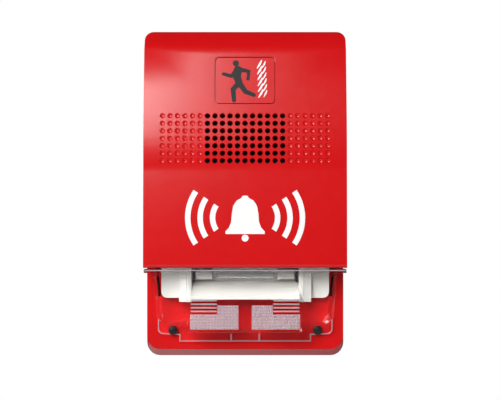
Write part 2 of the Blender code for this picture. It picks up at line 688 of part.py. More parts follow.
# ---- Circuit board and what stands on it ----
def make_circuit_board():
    loops = [rounded_rect((-BOARD_HALF, BOARD_HALF), (BOARD_FOOT, BOARD_TOP), 0.0015),
             wire_opening(-0.0010), circle(CAPTIVE_X, CAPTIVE_Z, CAPTIVE_HEAD + SHANK_CLEARANCE)]
    loops += [circle(x, z, SMALL_SHANK + SHANK_CLEARANCE, 8) for x, z in BOARD_SCREWS]
    mesh = outline_mesh("circuit_board", loops, (BOARD_BACK, BOARD_FRONT), FRONT_VIEW)
    part("circuit_board", mesh, BOARD_GREEN)
    for number, (x, z) in enumerate(BOARD_SCREWS, 1):
        make_screw("board_screw_%d" % number, x, z, BOARD_SEAT, PILOT_DEPTH + GAP, SMALL_SHANK, SMALL_HEAD,
                   SMALL_HEAD_HEIGHT, ZINC_STEEL)
    make_screw("captive_screw", CAPTIVE_X, CAPTIVE_Z, FLOOR_FRONT + GAP, GAP, CAPTIVE_SHANK, CAPTIVE_HEAD,
               0.0022, ZINC_STEEL)


def make_screw(name, x, z, seat, tip, shank, head, head_height, finish):
    """A pan-head screw along Y: its head stands on the seat depth and its tip ends at a depth."""
    profile = [(0.0, head_height), (head * 0.72, head_height), (head, head_height * 0.62), (head, 0.0),
               (shank, 0.0), (shank, tip - seat + shank * 0.6), (0.0, tip - seat)]
    smooth(turned(name, profile, x, seat, z, finish))


def terminal_x(number):
    return (number - (TERMINAL_COUNT - 1) / 2) * TERMINAL_PITCH


def make_terminal_block():
    """A barrier block seen from above: a body with a fin on each side of every terminal."""
    floor = BOARD_SEAT + TERMINAL_BODY
    crest = BOARD_SEAT + TERMINAL_FIN
    end = terminal_x(TERMINAL_COUNT) - TERMINAL_PITCH / 2 + FIN_WIDTH / 2
    comb = [(-end, BOARD_SEAT), (end, BOARD_SEAT)]
    for number in reversed(range(TERMINAL_COUNT + 1)):
        middle = terminal_x(number) - TERMINAL_PITCH / 2
        fin = [(middle + FIN_WIDTH / 2, floor), (middle + FIN_WIDTH / 2, crest),
               (middle - FIN_WIDTH / 2, crest), (middle - FIN_WIDTH / 2, floor)]
        comb += fin[1:] if number == TERMINAL_COUNT else fin[:-1] if number == 0 else fin
    foot = TERMINAL_TOP - TERMINAL_HEIGHT
    block = part("terminal_block",
                 outline_mesh("terminal_block", [comb], (-TERMINAL_TOP, -foot), PLAN_VIEW), BLACK_PLASTIC)
    middle = (TERMINAL_TOP + foot) / 2
    centres = [(terminal_x(number), middle) for number in range(TERMINAL_COUNT)]
    cut(block, "terminal_holes",
        rod_mesh("terminal_holes", TERMINAL_SHANK + GAP, (BOARD_SEAT + 0.0010, floor + CUT), centres, 8))
    clamp_back = floor + GAP
    seat = clamp_back + CLAMP_THICKNESS + GAP
    for number, (x, z) in enumerate(centres, 1):
        half = CLAMP_SIZE / 2
        loops = [rounded_rect((x - half, x + half), (z - half, z + half), 0.0006, 1),
                 circle(x, z, TERMINAL_SHANK + GAP, 8)]
        name = "clamp_plate_%d" % number
        part(name, outline_mesh(name, loops, (clamp_back, clamp_back + CLAMP_THICKNESS), FRONT_VIEW), BRASS)
        make_screw("terminal_screw_%d" % number, x, z, seat, BOARD_SEAT + 0.0013, TERMINAL_SHANK,
                   TERMINAL_HEAD, 0.0019, ZINC_STEEL)


def make_switches():
    """Slide switches: a body with a well, and a slider that travels along it."""
    for name, x, length, travel in SWITCHES:
        front = BOARD_SEAT + SWITCH_BODY
        body = part(name + "_switch", box_mesh(
            name + "_switch", ((x - length / 2, x + length / 2), (BOARD_SEAT, front),
                               (SWITCH_Z - SWITCH_WIDTH / 2, SWITCH_Z + SWITCH_WIDTH / 2))), BLACK_PLASTIC)
        start = x - travel / 2
        room = SLIDER_LENGTH / 2 + GAP
        cut(body, name + "_well", box_mesh(
            name + "_well", ((start - room, start + travel + room), (front - SWITCH_WELL, front + CUT),
                             (SWITCH_Z - SLIDER_WIDTH / 2 - GAP, SWITCH_Z + SLIDER_WIDTH / 2 + GAP))))
        centre = at(start, front - SWITCH_WELL + GAP + SLIDER_HEIGHT / 2, SWITCH_Z)
        bm = bmesh.new()
        bmesh.ops.create_cube(bm, size=1.0, matrix=Matrix.Diagonal(
            (SLIDER_LENGTH, SLIDER_HEIGHT, SLIDER_WIDTH, 1.0)))
        slider = part(name + "_slider", mesh_from(bm, name + "_slider"), WHITE_PLASTIC)
        slider.location = centre


def make_components():
    """Storage capacitor, inductor, trigger coil and controller chip."""
    bm = bmesh.new()
    radius = 0.0062
    length = 0.0260
    low = -0.0140
    place = Matrix.Translation(at(-0.0275, BOARD_SEAT + radius, low + length / 2))
    bmesh.ops.create_cone(bm, cap_ends=True, segments=24, radius1=radius, radius2=radius, depth=length,
                          matrix=place)
    smooth(part("storage_capacitor", mesh_from(bm, "storage_capacitor"), BLACK_PLASTIC))
    drum = 0.0055
    profile = [(0.0, 0.0085), (drum, 0.0085), (drum, 0.0072), (drum * 0.82, 0.0072), (drum * 0.82, 0.0014),
               (drum, 0.0014), (drum, 0.0), (0.0, 0.0)]
    smooth(turned("inductor", profile, 0.0275, BOARD_SEAT, 0.0105, COPPER, 20))
    coil = [(0.0, 0.0080), (0.0036, 0.0080), (0.0036, 0.0), (0.0, 0.0)]
    smooth(turned("trigger_coil", coil, 0.0275, BOARD_SEAT, -0.0020, CERAMIC, 16))
    part("controller_chip", box_mesh("controller_chip", ((0.0240, 0.0310), (BOARD_SEAT, BOARD_SEAT + 0.0022),
                                                         (0.0240, 0.0340))), BLACK_PLASTIC)


# ---- Sounder ----
def make_sounder():
    """A cup on the board with a ledge that carries the diaphragm, its piezo disc and a clamp ring."""
    mouth = SOUNDER_DEPTH
    bore = SOUNDER_RADIUS - SOUNDER_WALL
    ledge = mouth - SOUNDER_LEDGE
    inner = bore - 0.0030
    cup = [(0.0, 0.0014), (inner, 0.0014), (inner, ledge), (bore, ledge), (bore, mouth),
           (SOUNDER_RADIUS, mouth), (SOUNDER_RADIUS, 0.0), (0.0, 0.0)]
    smooth(turned("sounder_housing", cup, 0.0, BOARD_SEAT, SOUNDER_Z, BLACK_PLASTIC, SOUNDER_STEPS))
    disc_back = BOARD_SEAT + ledge + GAP
    disc_front = disc_back + DIAPHRAGM_THICKNESS
    rim = bore - GAP
    disc = [(0.0, DIAPHRAGM_THICKNESS), (rim, DIAPHRAGM_THICKNESS), (rim, 0.0), (0.0, 0.0)]
    turned("sounder_diaphragm", disc, 0.0, disc_back, SOUNDER_Z, BRASS, SOUNDER_STEPS)
    patch = [(0.0, DIAPHRAGM_THICKNESS), (PIEZO_RADIUS, DIAPHRAGM_THICKNESS), (PIEZO_RADIUS, 0.0), (0.0, 0.0)]
    turned("piezo_disc", patch, 0.0, disc_front + GAP, SOUNDER_Z, CERAMIC, SOUNDER_STEPS)
    ring_height = 0.0018
    ring = [(inner, ring_height), (rim, ring_height), (rim, 0.0), (inner, 0.0)]
    turned("sounder_ring", ring, 0.0, disc_front + GAP, SOUNDER_Z, BLACK_PLASTIC, SOUNDER_STEPS)
    pad = 0.0009
    gasket = [(bore, pad), (SOUNDER_RADIUS, pad), (SOUNDER_RADIUS, 0.0), (bore, 0.0)]
    turned("sounder_gasket", gasket, 0.0, BOARD_SEAT + mouth + GAP, SOUNDER_Z, FOAM, SOUNDER_STEPS)
    make_sounder_leads()


def make_sounder_leads():
    """Two short leads that leave the cup's side, bow out and land on the board."""
    radius = 0.00045
    reach = SOUNDER_RADIUS + GAP + radius
    leads = (("sounder_lead_red", 148, RED_WIRE), ("sounder_lead_black", 160, BLACK_WIRE))
    for name, degrees, finish in leads:
        angle = math.radians(degrees)
        out = Vector((math.cos(angle), 0.0, math.sin(angle)))
        centre = at(0.0, 0.0, SOUNDER_Z)
        route = [centre + out * reach + at(0.0, BOARD_SEAT + 0.0061, 0.0),
                 centre + out * (reach + 0.0012) + at(0.0, BOARD_SEAT + 0.0067, 0.0),
                 centre + out * (reach + 0.0030) + at(0.0, BOARD_SEAT + 0.0051, 0.0),
                 centre + out * (reach + 0.0038) + at(0.0, BOARD_SEAT + 0.0023, 0.0),
                 centre + out * (reach + 0.0039) + at(0.0, BOARD_SEAT + radius * 0.5, 0.0)]
        part(name, wire_mesh(name, eased(route, 4), radius), finish)


# ---- Strobe ----
def make_flash_tube():
    tube = bar_mesh("flash_tube", TUBE_RADIUS, (-TUBE_HALF, TUBE_HALF), TUBE_DEPTH, TUBE_Z, 16)
    smooth(part("flash_tube", tube, GLASS))
    for side, word in ((-1, "left"), (1, "right")):
        near = TUBE_HALF + GAP
        span = (near, TUBE_END) if side > 0 else (-TUBE_END, -near)
        name = "tube_cap_" + word
        smooth(part(name, bar_mesh(name, CAP_RADIUS, span, TUBE_DEPTH, TUBE_Z, 16), ZINC_STEEL))
        make_tube_holder(side, word)


def make_tube_holder(side, word):
    """A bent strip: it stands beside the cap, passes the reflector's top and lands on the board."""
    strip = HOLDER_THICKNESS * 1.5
    shelf = BOARD_FOOT + 2 * GAP
    front = TUBE_DEPTH + 0.0022
    back = TUBE_DEPTH - 0.0020
    outline = [(back, TUBE_Z - 0.0030), (front, TUBE_Z - 0.0030), (front, shelf + strip),
               (BOARD_SEAT, shelf + strip), (BOARD_SEAT, shelf), (back, shelf)]
    near = side * HOLDER_X
    far = side * (HOLDER_X + HOLDER_THICKNESS)
    name = "tube_holder_" + word
    part(name, outline_mesh(name, [outline], tuple(sorted((-near, -far))), SIDE_VIEW), BLACK_STEEL)


def trough_outline():
    """The reflector's trough from the side: an upright back, a sloping floor and a short lip."""
    wall = REFLECTOR_WALL
    return [(TROUGH_BACK - wall, REFLECTOR_TOP), (TROUGH_BACK - wall, TROUGH_BEND - wall * 0.8),
            (TROUGH_LIP - wall * 1.6, TROUGH_FOOT - LIP_DROP), (TROUGH_LIP, TROUGH_FOOT - LIP_DROP),
            (TROUGH_LIP, TROUGH_FOOT), (TROUGH_LIP - wall, TROUGH_FOOT), (TROUGH_BACK, TROUGH_BEND),
            (TROUGH_BACK, REFLECTOR_TOP)]


def make_reflector():
    reflector = part("reflector", outline_mesh("reflector", [trough_outline()],
                                               (-TROUGH_HALF - GAP, TROUGH_HALF + GAP), SIDE_VIEW), WHITE_PLASTIC)
    top = (REFLECTOR_TOP - REFLECTOR_WALL - GAP / 2, REFLECTOR_TOP)
    top_front = COVER_FRONT - COVER_WALL - 0.0016
    join(reflector, "reflector_top",
         box_mesh("reflector_top", ((-EAR_OUTER, EAR_OUTER), (TROUGH_BACK - REFLECTOR_WALL, top_front), top)))
    column = (TROUGH_HALF, TROUGH_HALF + COLUMN_WIDTH)
    join(reflector, "columns",
         box_mesh("columns", *both_sides(column, (LENS_BACK, COLUMN_DEPTH),
                                         (COLUMN_FOOT, REFLECTOR_TOP - GAP / 2))))
    for side, word in ((-1, "left"), (1, "right")):
        inner = side * (TROUGH_HALF + COLUMN_WIDTH - GAP)
        outer = side * EAR_OUTER
        corner_u = outer - side * EAR_RADIUS
        corner = arc((corner_u, EAR_FOOT + EAR_RADIUS), EAR_RADIUS, -90, 0 if side > 0 else -180, 3)
        ear = [(inner, EAR_FOOT), *corner, (outer, REFLECTOR_TOP - GAP / 2), (inner, REFLECTOR_TOP - GAP / 2)]
        join(reflector, "ear_" + word, outline_mesh(
            "ear_" + word, [ear], (EAR_DEPTH - REFLECTOR_WALL, EAR_DEPTH), FRONT_VIEW))
    slot = (HOLDER_X - GAP, HOLDER_X + HOLDER_THICKNESS + GAP)
    cut(reflector, "holder_slots",
        box_mesh("holder_slots", *both_sides(slot, (TUBE_DEPTH - 0.0020 - GAP, TUBE_DEPTH + 0.0022 + GAP),
                                             (REFLECTOR_TOP - REFLECTOR_WALL - CUT, REFLECTOR_TOP + CUT))))
    hole = TRIGGER_WIRE + GAP
    cut(reflector, "wire_hole",
        box_mesh("wire_hole", ((TRIGGER_X - hole, TRIGGER_X + hole), (TUBE_DEPTH - hole, TUBE_DEPTH + hole),
                               (REFLECTOR_TOP - REFLECTOR_WALL - CUT, REFLECTOR_TOP + CUT))))


def make_trigger_wire():
    """From the trigger coil, in front of the captive screw, through the reflector's top to the tube."""
    end = TUBE_Z + TUBE_RADIUS + GAP
    route = [at(0.0275, TUBE_DEPTH - 0.0025, -0.0056 - GAP), at(0.0272, TUBE_DEPTH - 0.0022, -0.0090),
             at(0.0250, TUBE_DEPTH - 0.0010, -0.0150), at(0.0180, TUBE_DEPTH - 0.0003, -0.0205),
             at(0.0110, TUBE_DEPTH, -0.0228),
             at(TRIGGER_X + 0.0003, TUBE_DEPTH, -0.0252), at(TRIGGER_X, TUBE_DEPTH, end)]
    part("trigger_wire", wire_mesh("trigger_wire", eased(route, 5), TRIGGER_WIRE), RED_WIRE)


# ---- Lens ----
def wing_mesh(name, inset, back, front, top):
    """The wide part of the lens: drafted towards its front, with round lower corners."""
    bm = bmesh.new()
    verts = add_box(bm, (-1.0, 1.0), (back, front), (LENS_FOOT + inset, top))
    for vert in verts:
        share = (-vert.co.y - LENS_BACK) / (WING_DEPTH - LENS_BACK)
        half = LENS_TOP_HALF if vert.co.z > LENS_FOOT / 2 + top / 2 else LENS_FOOT_HALF
        vert.co.x = math.copysign(half - inset - WING_DRAFT * share, vert.co.x)
        if vert.co.z < LENS_FOOT / 2 + top / 2:
            vert.co.z += WING_DRAFT * 0.2 * share
    edges = [edge for edge in bm.edges if all(vert.co.z < LENS_FOOT / 2 + top / 2 for vert in edge.verts)
             and abs(edge.verts[0].co.y - edge.verts[1].co.y) > 0.001]
    bmesh.ops.bevel(bm, geom=edges, offset=0.0032 - inset, offset_type="OFFSET", segments=3, profile=0.5,
                    affect="EDGES")
    bmesh.ops.triangulate(bm, faces=bm.faces)
    return mesh_from(bm, name)


def block_mesh(name, inset, back, front, top):
    """The deep middle of the lens, drafted towards its front."""
    bm = bmesh.new()
    verts = add_box(bm, (-1.0, 1.0), (back, front), (BLOCK_FOOT + inset, top))
    for vert in verts:
        share = (-vert.co.y - LENS_BACK) / (LENS_FACE - LENS_BACK)
        low = vert.co.z < BLOCK_FOOT / 2 + top / 2
        half = BLOCK_HALF - (BLOCK_DRAFT if low else 0.0)
        vert.co.x = math.copysign(half - inset - BLOCK_DRAFT * 0.5 * share, vert.co.x)
        if low:
            vert.co.z += BLOCK_DRAFT * share
    bmesh.ops.triangulate(bm, faces=bm.faces)
    return mesh_from(bm, name)


def flange_outline():
    """Foot flange of the lens, with a deeper tongue under the middle block."""
    top = LENS_FOOT + 0.0040
    radius = 0.0020
    right = [(TONGUE_HALF, TONGUE_FOOT), (TONGUE_HALF, FLANGE_FOOT),
             *arc((FLANGE_HALF - radius, FLANGE_FOOT + FLANGE_RISE + radius), radius, -90, 0, 3),
             (FLANGE_HALF, top)]
    return right + [(-x, z) for x, z in reversed(right)]


def make_lens():
    shoulder = LENS_TOP - GAP / 2
    lens = part("lens", wing_mesh("lens", 0.0, LENS_BACK, WING_DEPTH, shoulder), CLEAR_PLASTIC)
    flange = (LENS_BACK, LENS_BACK + FLANGE_THICKNESS)
    join(lens, "lens_flange", outline_mesh("lens_flange", [flange_outline()], flange, FRONT_VIEW))
    join(lens, "lens_block", block_mesh("lens_block", 0.0, LENS_BACK, LENS_FACE, shoulder))
    rail_half = HALF_WIDTH - RAIL_OVERLAP
    rail = rounded_rect((-rail_half, rail_half), (RAIL_BACK, COVER_FRONT - GAP), 0.0008, 2)
    join(lens, "lens_rail",
         outline_mesh("lens_rail", [rail], (-LENS_TOP, RAIL_THICKNESS - LENS_TOP), PLAN_VIEW))
    hook = (LENS_HOOK_OUTER - LENS_HOOK_THICKNESS, LENS_HOOK_OUTER)
    join(lens, "lens_hooks",
         box_mesh("lens_hooks", *both_sides(hook, (BASE_DEPTH - 1.6 * BASE_WALL, LENS_BACK + 0.0006),
                                            (LENS_HOOK_FOOT, LENS_HOOK_TOP))))
    above = LENS_TOP + CUT
    cut(lens, "wing_hollow",
        wing_mesh("wing_hollow", LENS_WALL, LENS_BACK - CUT, WING_DEPTH - LENS_WALL, above))
    cut(lens, "block_hollow",
        block_mesh("block_hollow", LENS_WALL, LENS_BACK - CUT, LENS_FACE - LENS_WALL, above))
    screws = [(-LENS_SCREW_X, LENS_SCREW_Z), (LENS_SCREW_X, LENS_SCREW_Z)]
    cut(lens, "lens_holes", rod_mesh("lens_holes", SMALL_SHANK + SHANK_CLEARANCE,
                                     (LENS_BACK - CUT, LENS_BACK + FLANGE_THICKNESS + CUT), screws, 8))
    seat = LENS_BACK + FLANGE_THICKNESS + GAP
    for word, (x, z) in zip(("left", "right"), screws):
        make_screw("lens_screw_" + word, x, z, seat, PILOT_DEPTH + GAP, SMALL_SHANK, SMALL_HEAD,
                   SMALL_HEAD_HEIGHT, BLACK_STEEL)


# ---- Assembly ----
make_mounting_plate()
make_rear_housing()
hang_on_axis("cover_axis", at(0.0, COVER_BACK, HALF_HEIGHT), make_front_cover())
make_circuit_board()
make_terminal_block()
make_switches()
make_components()
make_sounder()
make_flash_tube()
make_reflector()
make_trigger_wire()
make_lens()
bpy.context.view_layer.update()
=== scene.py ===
"""Visible model of a wall horn strobe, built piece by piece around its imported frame.

Lengths are in metres. The wall is the plane Y = 0 and the front faces -Y, so "depth" means how far a
point stands out of the wall.
"""

import math

import bmesh
import bpy
from bpy.props import FloatProperty, FloatVectorProperty, IntProperty, PointerProperty
from mathutils import Matrix, Vector


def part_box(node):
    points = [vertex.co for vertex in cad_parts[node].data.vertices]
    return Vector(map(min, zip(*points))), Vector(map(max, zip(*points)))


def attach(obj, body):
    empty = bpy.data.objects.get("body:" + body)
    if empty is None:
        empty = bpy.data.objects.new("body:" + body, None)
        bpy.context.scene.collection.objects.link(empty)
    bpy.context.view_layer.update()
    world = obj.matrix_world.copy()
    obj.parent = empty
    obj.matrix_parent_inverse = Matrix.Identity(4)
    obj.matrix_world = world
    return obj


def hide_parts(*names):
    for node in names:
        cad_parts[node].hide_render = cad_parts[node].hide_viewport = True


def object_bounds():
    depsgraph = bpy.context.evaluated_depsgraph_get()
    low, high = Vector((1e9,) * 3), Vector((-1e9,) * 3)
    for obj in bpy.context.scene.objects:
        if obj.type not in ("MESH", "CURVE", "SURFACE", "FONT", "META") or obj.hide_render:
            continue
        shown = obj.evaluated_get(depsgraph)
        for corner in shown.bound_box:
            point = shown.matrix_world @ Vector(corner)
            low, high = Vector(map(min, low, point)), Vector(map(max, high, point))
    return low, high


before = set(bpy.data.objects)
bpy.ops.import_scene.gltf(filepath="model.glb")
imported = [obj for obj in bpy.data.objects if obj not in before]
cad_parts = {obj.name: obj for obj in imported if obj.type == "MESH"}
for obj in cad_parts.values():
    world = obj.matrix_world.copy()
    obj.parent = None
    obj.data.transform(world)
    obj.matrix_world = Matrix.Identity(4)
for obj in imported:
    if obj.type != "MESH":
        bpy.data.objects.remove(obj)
CAD_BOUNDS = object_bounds()

bl_info = {
    "name": "Wall Horn Strobe",
    "version": (1, 0, 0),
    "blender": (4, 5, 0),
    "location": "View3D > Sidebar > Horn Strobe",
    "description": "Builds the visible pieces of a wall horn strobe around its packed frame",
    "category": "Add Mesh",
}

MM = 0.001
GAP = 0.3 * MM
CUT = 2.0 * MM                   # how far a cutter runs past the face it opens
WELD = 0.002 * MM                # points nearer than this are one point


# ---- Places taken from the frame ----
def depths(node):
    """Least and greatest depth of a node."""
    low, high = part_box(node)
    return -high.y, -low.y


BASE_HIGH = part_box("rear_housing")[1]
TUBE_LOW, TUBE_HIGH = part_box("flash_tube")
HALF_WIDTH = BASE_HIGH.x
HALF_HEIGHT = BASE_HIGH.z
BASE_DEPTH = depths("rear_housing")[1]
COVER_FRONT = depths("front_cover")[1]
COVER_BACK = BASE_DEPTH + GAP
LIP_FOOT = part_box("front_cover")[0].z
LENS_BACK = BASE_DEPTH + GAP
LENS_TOP = LIP_FOOT - 0.6 * MM

# The cover's side outline: depth and height of its creases.
CREASE = (BASE_DEPTH + 15.2 * MM, 10.5 * MM)
BAND_HEIGHT = 23.6 * MM
BAND_TOP = (BASE_DEPTH + 13.1 * MM, CREASE[1] + BAND_HEIGHT)
BROW = (BASE_DEPTH + 8.4 * MM, BAND_TOP[1] + 23.2 * MM)
CROWN_DEPTH = BASE_DEPTH + 2.5 * MM
LIP_RADIUS = 1.5 * MM
COVER_WALL = 2.2 * MM
COVER_CORNER = 3.5 * MM
LOWER_BULGE = 0.12               # bulge of the lower zone, as a share of its lean
UPPER_TILT = math.atan((BAND_TOP[0] - BROW[0]) / (BROW[1] - BAND_TOP[1]))
FRONT_VIEW = Matrix.Rotation(math.pi / 2, 4, "X")
SIDE_VIEW = Matrix(((0, 0, -1), (-1, 0, 0), (0, 1, 0))).to_4x4()
PLAN_VIEW = Matrix(((1, 0, 0), (0, -1, 0), (0, 0, -1))).to_4x4()


# ---- Sizes and colours a user would change ----
def length(name, description, millimetres):
    return FloatProperty(name=name, description=description, default=millimetres * MM, min=0.0,
                         precision=5, unit="LENGTH")


def colour(name, description, rgb):
    return FloatVectorProperty(name=name, description=description, default=rgb, size=3, min=0.0,
                               max=1.0, subtype="COLOR")


class StrobeSizes(bpy.types.PropertyGroup):
    """Sizes of the details that only the visible model has"""

    hole_radius: length("Grille hole radius", "Radius of each hole of the sounder grille", 1.0)
    hole_pitch: length("Grille pitch", "Distance between neighbouring holes", 2.92)
    hole_flare: length("Hole flare", "How much wider a hole's mouth is than its bore", 0.14)
    dimple_radius: length("Dimple radius", "Radius of the blind dimples beside the grille", 1.06)
    dimple_depth: length("Dimple depth", "Depth of the blind dimples", 0.62)
    edge_round: length("Edge rounding", "Rounding of the cover's outer edges", 1.1)
    prism_pitch: length("Prism pitch", "Size of one prism of the lens's diffusing fields", 1.17)
    prism_height: length("Prism height", "Height of one prism", 0.38)
    print_rise: length("Print thickness", "How far printed marks stand off the plastic", 0.05)
    hole_sides: IntProperty(name="Hole sides", description="Sides of each grille hole", default=20,
                            min=8, max=48)


class StrobeColours(bpy.types.PropertyGroup):
    """Base colours of the finishes"""

    red: colour("Cover red", "Moulded red plastic of the cover and the housing", (0.62, 0.0045, 0.006))
    white: colour("Reflector white", "White plastic of the reflector", (0.74, 0.72, 0.67))
    ink_white: colour("White ink", "Printed mark on the cover", (0.90, 0.90, 0.89))
    ink_black: colour("Black ink", "Printed figure on the symbol plate", (0.016, 0.015, 0.015))
    board: colour("Board green", "Solder mask of the circuit board", (0.015, 0.13, 0.05))


# ---- Shader maths ----
# The frame's own flat materials are named after its slots, so the finishes made here carry a prefix.
FINISH_PREFIX = "finish_"


def finish_named(name):
    return bpy.data.materials[FINISH_PREFIX + name]


class Value:
    """A value socket of a material's nodes; arithmetic on it adds Math nodes."""

    def __init__(self, finish, socket):
        self.finish = finish
        self.socket = socket

    def _math(self, operation, *terms):
        return self.finish.node("ShaderNodeMath", {"operation": operation}, dict(enumerate(terms)))

    def __add__(self, other):
        return self._math("ADD", self, other)

    def __sub__(self, other):
        return self._math("SUBTRACT", self, other)

    def __rsub__(self, other):
        return self._math("SUBTRACT", other, self)

    def __mul__(self, other):
        return self._math("MULTIPLY", self, other)

    __radd__ = __add__
    __rmul__ = __mul__


class Finish:
    """A material and the nodes it is made of."""

    def __init__(self, name):
        self.material = bpy.data.materials.new(FINISH_PREFIX + name)
        if self.material.name != FINISH_PREFIX + name:
            raise RuntimeError(f"a material named {FINISH_PREFIX + name} already exists")
        self.material.use_nodes = True
        self.tree = self.material.node_tree
        self.tree.nodes.clear()

    def node(self, kind, settings=None, inputs=None, output=0):
        """Adds a node: its settings first, then the values or links of its sockets."""
        node = self.tree.nodes.new(kind)
        for name, value in (settings or {}).items():
            setattr(node, name, value)
        for key, value in (inputs or {}).items():
            if isinstance(value, Value):
                self.tree.links.new(value.socket, node.inputs[key])
            else:
                node.inputs[key].default_value = value
        return Value(self, node.outputs[output])

    def place(self):
        """Coordinates in metres that move with the piece."""
        return self.node("ShaderNodeTexCoord", output=3)

    def grain(self, size, detail=2.0, roughness=0.5, stretch=None):
        """Noise from 0 to 1 whose cells are about size across; stretch scales each axis."""
        place = self.place()
        if stretch:
            place = self.node("ShaderNodeVectorMath", {"operation": "MULTIPLY"}, {0: place, 1: stretch})
        return self.node("ShaderNodeTexNoise", None,
                         {"Vector": place, "Scale": 1.0 / size, "Detail": detail, "Roughness": roughness})

    def between(self, factor, first, second):
        """A colour between two others."""
        return self.node("ShaderNodeMix", {"data_type": "RGBA"},
                         {0: factor, 6: (*first, 1.0), 7: (*second, 1.0)}, 2)

    def relief(self, height, distance, strength=1.0):
        return self.node("ShaderNodeBump", None,
                         {"Height": height, "Distance": distance, "Strength": strength})

    def surface(self, **sockets):
        names = {key.replace("_", " ").title().replace("Ior", "IOR"): value
                 for key, value in sockets.items()}
        return self.node("ShaderNodeBsdfPrincipled", None, names)

    def done(self, shader):
        output = self.tree.nodes.new("ShaderNodeOutputMaterial")
        self.tree.links.new(shader.socket, output.inputs["Surface"])
        return self.material


def shade(rgb, amount):
    return tuple(min(1.0, channel * amount) for channel in rgb)


def moulded(name, rgb, roughness, texture=0.32 * MM, depth=0.006 * MM, **extra):
    """Moulded plastic: fine spark-eroded texture, slow colour drift, handling marks in its gloss."""
    finish = Finish(name)
    drift = finish.grain(14 * MM, 3.0)
    marks = finish.grain(4 * MM, 4.0, 0.6)
    texture_height = finish.grain(texture, 2.0, 0.55)
    tint = finish.between(drift, shade(rgb, 0.94), shade(rgb, 1.06))
    gloss = marks * 0.07 + (roughness - 0.035)
    normal = finish.relief(texture_height, depth)
    return finish.done(finish.surface(base_color=tint, roughness=gloss, normal=normal, **extra))


def plated(name, rgb, roughness, metallic=1.0):
    """Plated or drawn metal: fine streaks along the grain and a little tarnish."""
    finish = Finish(name)
    lines = finish.grain(0.5 * MM, 4.0, 0.6, stretch=(1.0, 1.0, 9.0))
    tarnish = finish.grain(5 * MM, 3.0)
    tint = finish.between(tarnish, shade(rgb, 0.82), shade(rgb, 1.05))
    gloss = lines * 0.16 + (roughness - 0.08)
    normal = finish.relief(lines, 0.003 * MM)
    return finish.done(finish.surface(base_color=tint, roughness=gloss, metallic=metallic,
                                      normal=normal))


def clear(name, rgb, roughness, ior, passing_share=0.82, transmission=1.0):
    """Clear plastic or glass; passing_share is how much lamp light each of its faces lets by."""
    finish = Finish(name)
    ripple = finish.grain(9 * MM, 2.0)
    body = finish.surface(base_color=(*rgb, 1.0), roughness=ripple * 0.03 + (roughness - 0.015),
                          ior=ior, transmission_weight=transmission)
    lamp_ray = finish.node("ShaderNodeLightPath", output=1)
    passing = finish.node("ShaderNodeBsdfTransparent", None,
                          {"Color": (*shade(rgb, passing_share), 1.0)})
    return finish.done(finish.node("ShaderNodeMixShader", None, {0: lamp_ray, 1: body, 2: passing}))


def open_foam(name):
    """Open-weave acoustic screen: dark crossed threads."""
    finish = Finish(name)
    cells = finish.node("ShaderNodeTexVoronoi", {"feature": "DISTANCE_TO_EDGE"},
                        {"Vector": finish.place(), "Scale": 1.0 / (0.45 * MM)})
    tint = finish.between(cells * 2.0, (0.006, 0.005, 0.005), (0.035, 0.030, 0.030))
    return finish.done(finish.surface(base_color=tint, roughness=cells * 0.2 + 0.75,
                                      normal=finish.relief(cells, 0.08 * MM)))


def circuit_green(name, rgb):
    """Solder mask over copper: darker tracks show through the green."""
    finish = Finish(name)
    tracks = finish.node("ShaderNodeTexBrick", {"offset": 0.37, "squash": 1.0},
                         {"Vector": finish.place(), "Scale": 90.0, "Mortar Size": 0.035,
                          "Color1": (1, 1, 1, 1), "Color2": (1, 1, 1, 1), "Mortar": (0, 0, 0, 1)}, 1)
    drift = finish.grain(6 * MM, 3.0)
    tint = finish.between(tracks * 0.6 + drift * 0.3, shade(rgb, 0.75), shade(rgb, 1.9))
    return finish.done(finish.surface(base_color=tint, roughness=drift * 0.1 + 0.28,
                                      normal=finish.relief(tracks, 0.03 * MM)))


def wound_copper(name):
    """Enamelled wire wound round a core."""
    finish = Finish(name)
    turns = finish.node("ShaderNodeTexWave", {"wave_type": "BANDS", "bands_direction": "Y"},
                        {"Vector": finish.place(), "Scale": 1.0 / (1.4 * MM), "Distortion": 0.4}, 1)
    tint = finish.between(turns, (0.16, 0.045, 0.018), (0.62, 0.24, 0.11))
    return finish.done(finish.surface(base_color=tint, roughness=turns * 0.12 + 0.26, metallic=0.85,
                                      normal=finish.relief(turns, 0.12 * MM)))


